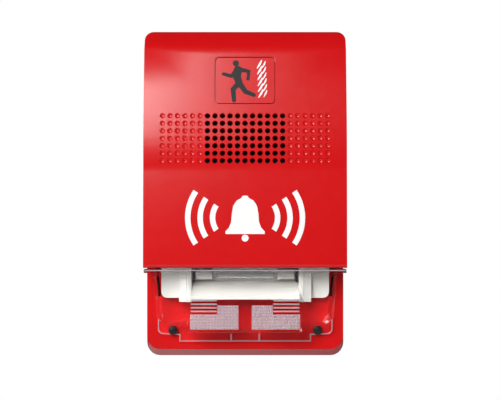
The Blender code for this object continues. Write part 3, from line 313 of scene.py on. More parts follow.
def make_finishes(colours):
    return {
        "red_plastic": moulded("red_plastic", colours.red, 0.20),
        "white_plastic": moulded("white_plastic", colours.white, 0.30, 0.5 * MM, 0.003 * MM),
        "black_plastic": moulded("black_plastic", (0.022, 0.022, 0.023), 0.42),
        "cream_plastic": moulded("cream_plastic", (0.70, 0.63, 0.48), 0.42, 0.2 * MM),
        "red_sleeve": moulded("red_sleeve", (0.50, 0.018, 0.018), 0.40, 0.2 * MM),
        "black_sleeve": moulded("black_sleeve", (0.020, 0.020, 0.020), 0.42, 0.2 * MM),
        "ink_white": moulded("ink_white", colours.ink_white, 0.42, 0.25 * MM, 0.004 * MM),
        "ink_black": moulded("ink_black", colours.ink_black, 0.34, 0.25 * MM, 0.004 * MM,
                             specular_ior_level=0.18),
        "zinc_steel": plated("zinc_steel", (0.60, 0.60, 0.58), 0.34),
        "black_steel": plated("black_steel", (0.030, 0.030, 0.032), 0.36, metallic=0.7),
        "brass": plated("brass", (0.70, 0.50, 0.21), 0.30),
        "copper": wound_copper("copper"),
        "green_board": circuit_green("green_board", colours.board),
        "dark_foam": open_foam("dark_foam"),
        "clear_plastic": clear("clear_plastic", (0.97, 0.975, 0.98), 0.03, 1.49),
        # The prism finish's pale pink diffuse share is painted reflection: it stands in for the bright room
        # and the red housing seen through the clear prisms. Its clear share is real.
        "prism_painted_reflection": clear("prism_painted_reflection", (0.62, 0.53, 0.56), 0.22, 1.49, 0.80, 0.55),
        "tube_glass": clear("tube_glass", (0.95, 0.96, 0.97), 0.025, 1.47),
    }


# ---- Mesh tools ----
def at(x, depth, z):
    return Vector((x, -depth, z))


def mesh_from(bm, name):
    bmesh.ops.recalc_face_normals(bm, faces=bm.faces)
    mesh = bpy.data.meshes.new(name)
    bm.to_mesh(mesh)
    bm.free()
    return mesh


def add_box(bm, xs, ds, zs):
    size = Vector((xs[1] - xs[0], ds[1] - ds[0], zs[1] - zs[0]))
    centre = at(sum(xs) / 2, sum(ds) / 2, sum(zs) / 2)
    matrix = Matrix.Translation(centre) @ Matrix.Diagonal((*size, 1.0))
    return bmesh.ops.create_cube(bm, size=1.0, matrix=matrix)["verts"]


def box_mesh(name, *boxes):
    bm = bmesh.new()
    for xs, ds, zs in boxes:
        add_box(bm, xs, ds, zs)
    return mesh_from(bm, name)


def both_sides(xs, ds, zs):
    return (xs, ds, zs), ((-xs[1], -xs[0]), ds, zs)


def arc(centre, radius, start, end, steps):
    angles = [math.radians(start + (end - start) * i / steps) for i in range(steps + 1)]
    return [(centre[0] + radius * math.cos(a), centre[1] + radius * math.sin(a)) for a in angles]


def rounded_rect(us, vs, radius, steps=8):
    corners = ((us[1] - radius, vs[0] + radius, -90), (us[1] - radius, vs[1] - radius, 0),
               (us[0] + radius, vs[1] - radius, 90), (us[0] + radius, vs[0] + radius, 180))
    points = []
    for u, v, start in corners:
        points += arc((u, v), radius, start, start + 90, steps)
    return points


def circle(u, v, radius, sides=32):
    return arc((u, v), radius, 0, 360 - 360 / sides, sides - 1)


def outline_mesh(name, loops, span, view):
    """A flat outline, with its holes, extruded over a span of its view's thickness."""
    curve = bpy.data.curves.new(name, "CURVE")
    curve.dimensions = "2D"
    curve.fill_mode = "BOTH"
    curve.extrude = (span[1] - span[0]) / 2
    for loop in loops:
        spline = curve.splines.new("POLY")
        spline.points.add(len(loop) - 1)
        for point, (u, v) in zip(spline.points, loop):
            point.co = (u, v, 0.0, 1.0)
        spline.use_cyclic_u = True
    guide = bpy.data.objects.new(name, curve)
    bpy.context.scene.collection.objects.link(guide)
    guide.matrix_world = view @ Matrix.Translation((0.0, 0.0, sum(span) / 2))
    bpy.context.view_layer.update()
    mesh = bpy.data.meshes.new_from_object(guide.evaluated_get(bpy.context.evaluated_depsgraph_get()))
    bm = bmesh.new()
    bm.from_mesh(mesh)
    bpy.data.meshes.remove(mesh)
    bmesh.ops.remove_doubles(bm, verts=bm.verts, dist=1e-6)
    bm.transform(guide.matrix_world)
    bpy.data.objects.remove(guide, do_unlink=True)
    bpy.data.curves.remove(curve)
    return mesh_from(bm, name)


def settle(obj):
    """Applies an object's modifiers to its mesh."""
    bpy.context.view_layer.update()
    done = bpy.data.meshes.new_from_object(obj.evaluated_get(bpy.context.evaluated_depsgraph_get()))
    old = obj.data
    obj.modifiers.clear()
    obj.data = done
    bpy.data.meshes.remove(old)


def combine(obj, mesh, operation):
    """Adds or removes a mesh from an object by an exact Boolean."""
    tool = bpy.data.objects.new("tool", mesh)
    bpy.context.scene.collection.objects.link(tool)
    step = obj.modifiers.new("shape", "BOOLEAN")
    step.operation = operation
    step.solver = "EXACT"
    step.object = tool
    settle(obj)
    bpy.data.objects.remove(tool, do_unlink=True)
    bpy.data.meshes.remove(mesh)
    if not obj.data.polygons:
        raise RuntimeError(f"{obj.name} lost its mesh in a {operation}")


def cut(obj, mesh):
    combine(obj, mesh, "DIFFERENCE")


def join(obj, mesh):
    combine(obj, mesh, "UNION")


def round_edges(obj, width, segments=2, angle=30.0):
    bevel = obj.modifiers.new("edges", "BEVEL")
    bevel.width = width
    bevel.segments = segments
    bevel.limit_method = "ANGLE"
    bevel.angle_limit = math.radians(angle)
    bevel.use_clamp_overlap = True
    settle(obj)


def weld(obj):
    """Removes the tiny edges and slivers that Booleans and rounding leave."""
    bm = bmesh.new()
    bm.from_mesh(obj.data)
    bmesh.ops.remove_doubles(bm, verts=bm.verts, dist=WELD)
    bmesh.ops.dissolve_degenerate(bm, edges=bm.edges, dist=WELD)
    bm.to_mesh(obj.data)
    bm.free()


def shade_smooth(obj, angle=32.0):
    """Smooth shading between faces that meet gently; large flat faces keep their own normals."""
    weld(obj)
    obj.data.shade_smooth()
    obj.data.set_sharp_from_angle(angle=math.radians(angle))
    flat = obj.modifiers.new("normals", "WEIGHTED_NORMAL")
    flat.mode = "FACE_AREA"
    flat.weight = 100
    flat.keep_sharp = True
    settle(obj)


def rounded(mesh, width, segments=3):
    """The mesh of a convex part with its edges rounded."""
    obj = start(mesh.name, mesh)
    round_edges(obj, width, segments)
    done = obj.data
    bpy.data.objects.remove(obj, do_unlink=True)
    return done


def start(name, mesh):
    obj = bpy.data.objects.new(name, mesh)
    bpy.context.scene.collection.objects.link(obj)
    return obj


def check_closed(obj):
    """Raises if a piece is not one or more closed shells."""
    bm = bmesh.new()
    bm.from_mesh(obj.data)
    loose = sum(1 for edge in bm.edges if len(edge.link_faces) != 2)
    bm.free()
    if loose:
        raise RuntimeError(f"{obj.name} has {loose} edges that do not join two faces")


def finish_piece(obj, slot, body, *stands_for, look=None):
    """Gives a finished piece its material, its body and the frame nodes it stands for."""
    check_closed(obj)
    obj.data.materials.clear()
    obj.data.materials.append(finish_named(look or slot))
    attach(obj, body)
    if stands_for:
        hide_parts(*stands_for)
    return obj


def revolve(bm, profile, matrix, sides):
    """A closed solid turned about the local Z axis from (radius, height) points, its ends on the axis."""
    rings = []
    for radius, height in profile:
        if radius < 1e-9:
            rings.append([bm.verts.new(matrix @ Vector((0.0, 0.0, height)))])
            continue
        rings.append([bm.verts.new(matrix @ Vector((radius * math.cos(math.tau * i / sides),
                                                    radius * math.sin(math.tau * i / sides), height)))
                      for i in range(sides)])
    for low, high in zip(rings, rings[1:]):
        for i in range(sides):
            j = (i + 1) % sides
            corners = [low[i % len(low)], low[j % len(low)], high[j % len(high)], high[i % len(high)]]
            unique = list(dict.fromkeys(corners))
            if len(unique) > 2:
                bm.faces.new(unique)
    for ring in (rings[0], rings[-1]):
        if len(ring) > 1:
            bm.faces.new(ring)


# ---- Cover ----
def lerp(a, b, t):
    return a + (b - a) * t


def band_depth(share):
    """Depth of the sounder band at a share of its height: it bulges like a shallow barrel."""
    lean, end = math.radians(-2.0), math.radians(12.0)
    drop = BAND_HEIGHT * share * math.tan(lean + (end - lean) * share / 2)
    full = BAND_HEIGHT * math.tan(lean + (end - lean) / 2)
    return CREASE[0] - (CREASE[0] - BAND_TOP[0]) * drop / full


def cover_depth(z):
    """Depth of the cover's front face at a height."""
    lip = LIP_FOOT + LIP_RADIUS
    if z <= CREASE[1]:
        share = max(0.0, (z - lip) / (CREASE[1] - lip))
        bulge = 4 * LOWER_BULGE * (COVER_FRONT - CREASE[0]) * share * (1 - share)
        return lerp(COVER_FRONT, CREASE[0], share) + bulge
    if z <= BAND_TOP[1]:
        return band_depth((z - CREASE[1]) / BAND_HEIGHT)
    return lerp(BAND_TOP[0], BROW[0], (z - BAND_TOP[1]) / (BROW[1] - BAND_TOP[1]))


def cover_tilt(z):
    """How far the cover's face leans back at a height."""
    step = 0.1 * MM
    return math.atan((cover_depth(z - step) - cover_depth(z + step)) / (2 * step))


def face_view(x, z, lift=0.0):
    """Local axes on the cover's face: Z points out of it, and the origin stands lift above it."""
    place = Matrix.Translation(at(x, cover_depth(z), z))
    return place @ Matrix.Rotation(-cover_tilt(z), 4, "X") @ FRONT_VIEW @ Matrix.Translation((0, 0, lift))


def heights(low, high, step):
    count = max(1, round((high - low) / step))
    return [lerp(low, high, i / count) for i in range(count + 1)]


def front_line(inset, step):
    """Points (depth, z) up the cover's front, set back by a wall."""
    zs = heights(LIP_FOOT + LIP_RADIUS, CREASE[1], step)
    zs += heights(CREASE[1], BAND_TOP[1], step)[1:] + [BROW[1]]
    return [(cover_depth(z) - inset, z) for z in zs]


def outer_profile():
    lip = arc((COVER_FRONT - LIP_RADIUS, LIP_FOOT + LIP_RADIUS), LIP_RADIUS, -90, 0, 8)[:-1]
    crown_z = HALF_HEIGHT - 1.2 * MM
    bend = [(CROWN_DEPTH + 0.6 * MM, crown_z), (CROWN_DEPTH + 0.25 * MM, HALF_HEIGHT - 0.72 * MM),
            (CROWN_DEPTH - 0.2 * MM, HALF_HEIGHT - 0.27 * MM), (CROWN_DEPTH - 0.75 * MM, HALF_HEIGHT)]
    return [(COVER_BACK, LIP_FOOT), *lip, *front_line(0.0, 1.4 * MM), *bend, (COVER_BACK, HALF_HEIGHT)]


def inner_profile():
    line = front_line(COVER_WALL, 4 * MM)
    top = HALF_HEIGHT - COVER_WALL
    return [(COVER_BACK - CUT, LIP_FOOT - CUT), (line[0][0], LIP_FOOT - CUT), *line[:-1],
            (line[-1][0], line[-1][1] - COVER_WALL / 2), (CROWN_DEPTH - COVER_WALL / 2, top),
            (COVER_BACK - CUT, top)]


def grille_rows(pitch):
    middle = CREASE[1] + BAND_HEIGHT / 2 - GAP
    return [middle + (i - 3) * pitch for i in range(7)]


def add_bore(bm, x, z, radius, flare, sides):
    """A through hole with a flared mouth, square to the cover's face."""
    revolve(bm, [(0.0, -2.4 * COVER_WALL), (radius, -2.4 * COVER_WALL), (radius, -flare * 1.5),
                 (radius + flare * 0.45, -flare * 0.5), (radius + flare, 0.0),
                 (radius + flare * 1.6, flare), (0.0, flare)], face_view(x, z), sides)


def add_dimple(bm, x, z, radius, depth, sides):
    """A blind round hollow with a rounded floor."""
    floor = [(radius * math.sin(math.radians(a)), -depth * math.cos(math.radians(a)))
             for a in (0, 22, 44, 64, 80, 90)]
    revolve(bm, [*floor, (radius * 1.06, 0.4 * depth), (0.0, 0.4 * depth)], face_view(x, z), sides)


def build_cover(sizes):
    cover = start("cover_shell", outline_mesh("cover_shell", [outer_profile()],
                                              (-HALF_WIDTH, HALF_WIDTH), SIDE_VIEW))
    corners = rounded_rect((-HALF_WIDTH, HALF_WIDTH), (LIP_FOOT - HALF_HEIGHT, HALF_HEIGHT), COVER_CORNER, 10)
    combine(cover, outline_mesh("corners", [corners], (0.0, COVER_FRONT + CUT), FRONT_VIEW), "INTERSECT")
    round_edges(cover, sizes.edge_round, 4, 42.0)
    inner_half = HALF_WIDTH - COVER_WALL
    cut(cover, outline_mesh("hollow", [inner_profile()], (-inner_half, inner_half), SIDE_VIEW))
    hook_top = HALF_HEIGHT - 2.6 * MM
    side = HALF_WIDTH - 3.2 * MM
    for span, ds, zs in (
            ((18.0 * MM, 26.0 * MM), (COVER_BACK - 3.0 * MM, COVER_BACK + 2.2 * MM),
             (hook_top - 1.4 * MM, hook_top)),
            ((18.1 * MM, 25.9 * MM), (COVER_BACK + 0.4 * MM, COVER_BACK + 1.8 * MM),
             (hook_top - 1.0 * MM, HALF_HEIGHT - COVER_WALL / 2)),
            ((side - 1.4 * MM, side), (COVER_BACK - 4.0 * MM, COVER_BACK + 3.0 * MM),
             (-18.0 * MM, -10.0 * MM)),
            ((side - 0.6 * MM, HALF_WIDTH - COVER_WALL / 2), (COVER_BACK + 0.6 * MM, COVER_BACK + 2.4 * MM),
             (-17.0 * MM, -11.0 * MM))):
        join(cover, box_mesh("hooks", *both_sides(span, ds, zs)))
    rows = grille_rows(sizes.hole_pitch)
    bores, dimples = bmesh.new(), bmesh.new()
    for z in rows:
        for column in range(-11, 12):
            x = column * sizes.hole_pitch
            if abs(column) <= 5:
                add_bore(bores, x, z, sizes.hole_radius, sizes.hole_flare, sizes.hole_sides)
            else:
                add_dimple(dimples, x, z, sizes.dimple_radius, sizes.dimple_depth, sizes.hole_sides)
    cut(cover, mesh_from(bores, "bores"))
    cut(cover, mesh_from(dimples, "dimples"))
    cut(cover, outline_mesh("recess", [panel_outline(0.0)], (-1.2 * MM, CUT), panel_view()))
    cut(cover, outline_mesh("rim", [panel_outline(-0.35 * MM)], (-0.14 * MM, CUT), panel_view()))
    shade_smooth(cover)
    finish_piece(cover, "red_plastic", "cover", "front_cover")


# ---- Symbol plate ----
def panel_view():
    """Front view on the upper zone's face, centred on the symbol plate."""
    middle = lerp(BAND_TOP[1], BROW[1], 0.46)
    return (Matrix.Translation(at(0.0, cover_depth(middle), middle))
            @ Matrix.Rotation(-UPPER_TILT, 4, "X") @ FRONT_VIEW)


def panel_outline(margin):
    half_u, half_v = 11.8 * MM - margin, 9.5 * MM - margin
    return rounded_rect((-half_u, half_u), (-half_v, half_v), 1.8 * MM - margin, 6)


def limb(points, radii, sides=10):
    """Outline of a tapered limb along a path, round at both ends, anticlockwise."""
    left, right = [], []
    for i, ((u, v), radius) in enumerate(zip(points, radii)):
        before, after = points[max(0, i - 1)], points[min(len(points) - 1, i + 1)]
        way = Vector((after[0] - before[0], after[1] - before[1])).normalized()
        left.append((u - way.y * radius, v + way.x * radius))
        right.append((u + way.y * radius, v - way.x * radius))
    first = math.degrees(math.atan2(points[1][1] - points[0][1], points[1][0] - points[0][0]))
    last = math.degrees(math.atan2(points[-1][1] - points[-2][1], points[-1][0] - points[-2][0]))
    head = arc(points[-1], radii[-1], last - 90, last + 90, sides)
    tail = arc(points[0], radii[0], first + 90, first + 270, sides)
    return right[1:-1] + head + left[-2:0:-1] + tail


# Limbs of the running figure on the plate: path and radii, in millimetres from the plate's centre.
RUNNER = (
    (((-2.8, 4.2), (-3.2, 1.4), (-2.1, -1.6)), (1.65, 1.60, 1.30)),
    (((-3.6, 3.9), (-5.4, 1.7), (-8.4, 2.6)), (0.95, 0.85, 0.70)),
    (((-2.2, 4.4), (1.4, 3.6), (1.1, 0.6)), (0.95, 0.85, 0.68)),
    (((-2.5, -1.2), (-4.7, -3.6), (-4.3, -8.1)), (1.15, 1.05, 0.80)),
    (((-2.0, -1.4), (0.2, -4.6), (3.4, -5.9)), (1.15, 1.00, 0.78)),
)
RUNNER_HEAD = ((-3.6, 6.9), 1.25)
FLAMES = tuple((5.6 + 0.12 * i, 6.4 - 2.35 * i) for i in range(6))


def print_marks(name, loops, body, look, slot, matrix, rise):
    """Printed shapes on a surface, joined as tall blanks of unlike heights and trimmed to a thin print."""
    mark = None
    for number, loop in enumerate(loops):
        tall = (1.0 + 0.1 * number) * MM
        mesh = outline_mesh(name, [[(u * MM, v * MM) for u, v in loop]], (-tall, tall), matrix)
        if mark is None:
            mark = start(name, mesh)
        else:
            join(mark, mesh)
    sheet = rounded_rect((-14 * MM, 14 * MM), (-14 * MM, 14 * MM), MM)
    combine(mark, outline_mesh("sheet", [sheet], (-0.04 * MM, rise), matrix), "INTERSECT")
    shade_smooth(mark)
    return finish_piece(mark, slot, body, look=look)


def build_symbol(sizes):
    plate = start("symbol_plate", outline_mesh("symbol_plate", [panel_outline(GAP)],
                                               (-0.9 * MM, -0.2 * MM), panel_view()))
    round_edges(plate, 0.16 * MM, 2)
    shade_smooth(plate)
    finish_piece(plate, "red_plastic", "cover", "symbol_insert")
    face = panel_view() @ Matrix.Translation((0.0, 0.0, -0.2 * MM))
    figure = [limb(path, radii) for path, radii in RUNNER]
    figure.append(circle(*RUNNER_HEAD[0], RUNNER_HEAD[1], 28))
    print_marks("running_figure", figure, "cover", "ink_black", "black_plastic", face, sizes.print_rise)
    strokes = [limb(((u - 0.9, v - 1.5), (u + 0.1, v + 0.1), (u + 0.8, v + 1.6)), (0.16, 0.42, 0.22))
               for u, v in FLAMES]
    strokes += [limb(((u + 1.1, v - 1.3), (u + 1.9, v + 0.2), (u + 2.3, v + 1.3)), (0.14, 0.32, 0.16))
                for u, v in FLAMES]
    print_marks("slanted_strokes", strokes, "cover", "ink_white", "white_plastic", face,
                sizes.print_rise)


# ---- Printed bell ----
def bell_outline():
    """Side view of a bell, in millimetres about the mark's centre."""
    right = [(0.0, 8.6), (1.0, 8.45), (1.5, 7.6), (3.3, 6.6), (4.6, 4.6), (5.1, 1.8), (5.4, -1.6),
             (6.2, -3.8), (7.6, -5.3), (7.6, -6.3), (0.0, -6.3)]
    return right[::-1] + [(-u, v) for u, v in right[1:-1]]


def sound_arc(radius, half_angle, width, side):
    middle = 0.0 if side > 0 else 180.0
    outer = arc((side * 4.0, 0.0), radius + width / 2, middle - half_angle, middle + half_angle, 18)
    inner = arc((side * 4.0, 0.0), radius - width / 2, middle + half_angle, middle - half_angle, 18)
    return outer + inner


def drape(mesh, rise):
    """Lays a flat mark, made about Y = 0, on the cover's face."""
    bm = bmesh.new()
    bm.from_mesh(mesh)
    for z in heights(LIP_FOOT, CREASE[1], 1.0 * MM):
        everything = bm.verts[:] + bm.edges[:] + bm.faces[:]
        bmesh.ops.bisect_plane(bm, geom=everything, plane_co=(0, 0, z), plane_no=(0, 0, 1), dist=1e-7)
    for vert in bm.verts:
        lift = rise if vert.co.y < 0 else -0.06 * MM
        vert.co.y = -(cover_depth(vert.co.z) + lift)
    bm.to_mesh(mesh)
    bm.free()


def build_bell(sizes):
    middle = -8.8
    loops = [bell_outline(), circle(0.0, -7.9, 1.35, 24)]
    for side in (-1, 1):
        loops += [sound_arc(radius, 34, 2.1, side) for radius in (8.6, 13.4, 18.2)]
    for number, loop in enumerate(loops, 1):
        flat = [(u * MM, (v + middle) * MM) for u, v in loop]
        mesh = outline_mesh("printed_bell", [flat], (-0.01 * MM, 0.01 * MM), FRONT_VIEW)
        drape(mesh, sizes.print_rise)
        mark = start(f"printed_bell_{number}", mesh)
        shade_smooth(mark)
        finish_piece(mark, "white_plastic", "cover", look="ink_white")


# ---- Housing and plate ----
def soften(node, slot, body, width, segments=2):
    """A finer copy of a frame node: flat faces rejoined, edges rounded, curves shaded smooth."""
    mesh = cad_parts[node].data.copy()
    bm = bmesh.new()
    bm.from_mesh(mesh)
    bmesh.ops.remove_doubles(bm, verts=bm.verts, dist=2e-6)
    bmesh.ops.dissolve_limit(bm, angle_limit=math.radians(1.0), verts=bm.verts, edges=bm.edges)
    bm.to_mesh(mesh)
    bm.free()
    obj = start(node + "_moulded", mesh)
    round_edges(obj, width, segments, 32.0)
    shade_smooth(obj, 40.0)
    return finish_piece(obj, slot, body, node)


def build_housing():
    """The frame's housing with its moulded edges rounded."""
    soften("rear_housing", "red_plastic", "housing", 0.45 * MM, 3)


# ---- Lens ----
WING_FRONT = BASE_DEPTH + 9.0 * MM
LENS_FACE = COVER_FRONT - 1.6 * MM
LENS_WALL = 1.3 * MM
LENS_SIDE_WALL = 0.8 * MM
FLANGE_THICKNESS = 1.2 * MM
RAIL_THICKNESS = 1.3 * MM
WING_FOOT, WING_HALF_LOW, WING_HALF_HIGH = -51.2 * MM, 34.8 * MM, 36.5 * MM
WING_DRAFT, WING_FOOT_DRAFT, WING_CORNER = 1.6 * MM, 0.32 * MM, 3.2 * MM
BLOCK_FOOT, BLOCK_HALF_LOW, BLOCK_HALF_HIGH = -54.0 * MM, 22.6 * MM, 23.4 * MM
BLOCK_DRAFT, BLOCK_FOOT_DRAFT = 0.4 * MM, 0.8 * MM
SCREW_X, SCREW_Z, SCREW_HOLE = 28.6 * MM, -53.4 * MM, 1.4 * MM
LENS_EDGE = 0.28 * MM
# Width of the pale strip painted along the flange's edge as its highlight.
EDGE_HIGHLIGHT_WIDTH = 0.35 * MM


def wing_mesh(inset, back, front, top):
    """The wide part of the lens: drafted towards its front, with round lower corners."""
    bm = bmesh.new()
    verts = add_box(bm, (-1.0, 1.0), (back, front), (WING_FOOT + inset, top))
    middle = (WING_FOOT + top) / 2
    for vert in verts:
        share = (-vert.co.y - LENS_BACK) / (WING_FRONT - LENS_BACK)
        low = vert.co.z < middle
        half = (WING_HALF_LOW if low else WING_HALF_HIGH) - inset - WING_DRAFT * share
        vert.co.x = math.copysign(half, vert.co.x)
        vert.co.z += WING_FOOT_DRAFT * share if low else 0.0
    edges = [edge for edge in bm.edges if all(vert.co.z < middle for vert in edge.verts)
             and abs(edge.verts[0].co.y - edge.verts[1].co.y) > MM]
    bmesh.ops.bevel(bm, geom=edges, offset=WING_CORNER - inset, offset_type="OFFSET", segments=8,
                    profile=0.5, affect="EDGES")
    bmesh.ops.triangulate(bm, faces=bm.faces)
    return mesh_from(bm, "wing")


def block_mesh(inset, back, front, top):
    """The deep middle of the lens, drafted towards its front."""
    bm = bmesh.new()
    verts = add_box(bm, (-1.0, 1.0), (back, front), (BLOCK_FOOT + inset, top))
    for vert in verts:
        share = (-vert.co.y - LENS_BACK) / (LENS_FACE - LENS_BACK)
        low = vert.co.z < (top + BLOCK_FOOT) / 2
        half = (BLOCK_HALF_LOW if low else BLOCK_HALF_HIGH) - inset - BLOCK_DRAFT * share
        vert.co.x = math.copysign(half, vert.co.x)
        vert.co.z += BLOCK_FOOT_DRAFT * share if low else 0.0
    bmesh.ops.triangulate(bm, faces=bm.faces)
    return mesh_from(bm, "block")


def flange_outline():
    right = [(26.0, -57.9), (26.0, -55.3), *arc((32.5, -53.0), 2.0, -90, 0, 8), (34.5, -47.2)]
    return [(x * MM, z * MM) for x, z in right + [(-x, z) for x, z in reversed(right)]]


# The diffusing fields: two L shapes either side of a clear strip, on a grid of square prisms.
PRISM_STRIP = 2.6 * MM
PRISM_FOOT = -52.3 * MM
PRISM_INNER_TOP, PRISM_OUTER_TOP = -42.9 * MM, -45.8 * MM
PRISM_STEP, PRISM_EDGE = 10.4 * MM, 21.35 * MM
PRISM_WEB = 0.12 * MM
RIB_ROWS, RIB_TOP, RIB_PITCH = 4, -41.0 * MM, 1.4 * MM
PRISM_TIP = LENS_FACE - LENS_WALL - 0.05 * MM


def prism_cells(pitch):
    """Grid places (column, row) of one field's prisms, counted from the strip and the foot."""
    cells = set()
    for column in range(int((PRISM_EDGE - PRISM_STRIP) / pitch)):
        inner = PRISM_STRIP + (column + 0.5) * pitch < PRISM_STEP
        top = PRISM_INNER_TOP if inner else PRISM_OUTER_TOP
        cells.update((column, row) for row in range(int((top - PRISM_FOOT) / pitch)))
    return cells


def prism_mesh(pitch, height):
    """Pyramids on a thin web behind the lens's face, with the ribs above them and the latch's ribs."""
    foot = PRISM_TIP - height
    back = foot - PRISM_WEB
    cells = prism_cells(pitch)
    bm = bmesh.new()

    def corner(side, column, row, depth):
        return bm.verts.new(at(side * (PRISM_STRIP + column * pitch), depth, PRISM_FOOT + row * pitch))

    for side in (-1, 1):
        for column, row in cells:
            ring = ((column, row), (column + 1, row), (column + 1, row + 1), (column, row + 1))
            beyond = ((column, row - 1), (column + 1, row), (column, row + 1), (column - 1, row))
            tip = corner(side, column + 0.5, row + 0.5, PRISM_TIP)
            bm.faces.new([corner(side, *place, back) for place in ring])
            for i in range(4):
                j = (i + 1) % 4
                low, high = corner(side, *ring[i], foot), corner(side, *ring[j], foot)
                bm.faces.new((low, high, tip))
                if beyond[i] not in cells:
                    bm.faces.new((low, high, corner(side, *ring[j], back), corner(side, *ring[i], back)))
    bmesh.ops.remove_doubles(bm, verts=bm.verts, dist=2e-6)
    for row in range(RIB_ROWS):
        z = RIB_TOP - row * RIB_PITCH
        for xs, ds, zs in both_sides((11.0 * MM, PRISM_EDGE - 0.3 * MM), (back, PRISM_TIP),
                                     (z - 0.26 * MM, z + 0.26 * MM)):
            add_box(bm, xs, ds, zs)
    for xs, ds, zs in both_sides((5.3 * MM, 5.8 * MM), (LENS_BACK + 1.25 * MM, LENS_BACK + 1.75 * MM),
                                 (-57.6 * MM, -54.9 * MM)):
        add_box(bm, xs, ds, zs)
    return mesh_from(bm, "prisms")


def build_lens_edge_highlights():
    """Thin raised pale strips along the flange's lower edge and across the front of the rail: painted
    highlight for the light that the clear lens's edges catch.
    """
    front = LENS_BACK + 1.25 * MM
    loop = flange_outline()
    outer = loop[len(loop) // 2:] + loop[:len(loop) // 2]
    inner = [(x - math.copysign(EDGE_HIGHLIGHT_WIDTH, x), z + EDGE_HIGHLIGHT_WIDTH) for x, z in outer]
    # Pale strip along the flange's lower edge: painted highlight.
    rim = start("lens_flange_painted_highlight", outline_mesh("lens_flange_painted_highlight", [outer + inner[::-1]],
                                                (front, front + 0.15 * MM), FRONT_VIEW))
    finish_piece(rim, "clear_plastic", "housing", look="prism_painted_reflection")
    rail_front = COVER_FRONT - GAP + 0.03 * MM
    half = HALF_WIDTH - 0.5 * MM
    bar = ((-half, half), (rail_front, rail_front + 0.2 * MM), (LENS_TOP - 0.55 * MM, LENS_TOP - 0.1 * MM))
    # Pale strip across the rail's front: painted highlight.
    strip = start("lens_rail_painted_highlight", box_mesh("lens_rail_painted_highlight", bar))
    finish_piece(strip, "clear_plastic", "housing", look="prism_painted_reflection")


def build_lens(sizes):
    shoulder = LENS_TOP - GAP / 2
    lens = start("lens_clear", rounded(wing_mesh(0.0, LENS_BACK, WING_FRONT, shoulder), LENS_EDGE))
    join(lens, outline_mesh("flange", [flange_outline()], (LENS_BACK, LENS_BACK + FLANGE_THICKNESS),
                            FRONT_VIEW))
    join(lens, rounded(block_mesh(0.0, LENS_BACK, LENS_FACE, shoulder), LENS_EDGE))
    rail = rounded_rect((-HALF_WIDTH + 0.2 * MM, HALF_WIDTH - 0.2 * MM),
                        (WING_FRONT - 1.0 * MM, COVER_FRONT - GAP), 0.8 * MM, 5)
    join(lens, rounded(outline_mesh("rail", [rail], (-LENS_TOP, RAIL_THICKNESS - LENS_TOP), PLAN_VIEW),
                       LENS_EDGE))
    join(lens, box_mesh("hooks", *both_sides((34.7 * MM, 35.5 * MM),
                                             (BASE_DEPTH - 3.2 * MM, LENS_BACK + 0.6 * MM),
                                             (-39.5 * MM, -32.5 * MM))))
    cut(lens, wing_mesh(LENS_WALL, LENS_BACK - CUT, WING_FRONT - LENS_WALL, LENS_TOP + CUT))
    cut(lens, block_mesh(LENS_SIDE_WALL, LENS_BACK - CUT, LENS_FACE - LENS_WALL, LENS_TOP + CUT))
    holes = bmesh.new()
    for x in (-SCREW_X, SCREW_X):
        view = Matrix.Translation(at(x, LENS_BACK, SCREW_Z)) @ FRONT_VIEW
        revolve(holes, [(SCREW_HOLE, -CUT), (SCREW_HOLE, 3.5 * MM)], view, 24)
    cut(lens, mesh_from(holes, "holes"))
    shade_smooth(lens, 24.0)
    finish_piece(lens, "clear_plastic", "housing", "lens")
    prisms = start("lens_prisms", prism_mesh(sizes.prism_pitch, sizes.prism_height))
    # The prisms' pale pink diffuse colour is painted reflection of the bright room and the red housing behind
    # them.
    finish_piece(prisms, "clear_plastic", "housing", look="prism_painted_reflection")
    # Pale strips painted on as the highlights of the lens's edges.
    build_lens_edge_highlights()


# ---- Screws ----
THREAD_PITCH = 0.5 * MM


def build_screw(name, node, slot, head_radius, head_height):
    """A domed head with a cross recess on a threaded shank, inside its frame node's box."""
    low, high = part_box(node)
    x, z = (low.x + high.x) / 2, (low.z + high.z) / 2
    front, tip = -low.y, -high.y
    shank = head_radius * 0.42
    reach = front - tip - head_height
    profile = [(0.0, -reach), (shank * 0.55, -reach), (shank * 0.8, -reach * 0.93)]
    turns = max(4, int(reach / THREAD_PITCH))
    for i in range(turns):
        at_turn = -reach * 0.92 * (1 - i / turns)
        profile += [(shank * 0.82, at_turn), (shank, at_turn + reach * 0.4 / turns)]
    profile += [(shank * 0.82, 0.0), (head_radius * 0.96, 0.0), (head_radius, head_height * 0.14),
                (head_radius * 0.99, head_height * 0.5), (head_radius * 0.88, head_height * 0.78),
                (head_radius * 0.6, head_height * 0.95), (0.0, head_height)]
    bm = bmesh.new()
    view = Matrix.Translation(at(x, front - head_height, z)) @ FRONT_VIEW
    revolve(bm, profile, view, 28)
    screw = start(name, mesh_from(bm, name))
    arm, width = head_radius * 0.56, head_radius * 0.13
    cut(screw, box_mesh("slot", ((x - arm, x + arm), (front - head_height * 0.6, front + MM),
                                 (z - width, z + width))))
    cut(screw, box_mesh("cross", ((x - width * 1.01, x + width * 1.01),
                                  (front - head_height * 0.61, front + MM), (z - arm, z + arm))))
    shade_smooth(screw, 38.0)
    finish_piece(screw, slot, "housing", node)


def build_screws():
    for side in ("left", "right"):
        build_screw(f"lens_screw_{side}_fine", f"lens_screw_{side}", "black_steel", 1.8 * MM, 1.4 * MM)
    for number in range(1, 5):
        build_screw(f"board_screw_{number}_fine", f"board_screw_{number}", "zinc_steel",
                    1.8 * MM, 1.4 * MM)
        build_screw(f"terminal_screw_{number}_fine", f"terminal_screw_{number}", "zinc_steel",
                    2.4 * MM, 1.9 * MM)
    build_screw("captive_screw_fine", "captive_screw", "zinc_steel", 3.4 * MM, 2.2 * MM)


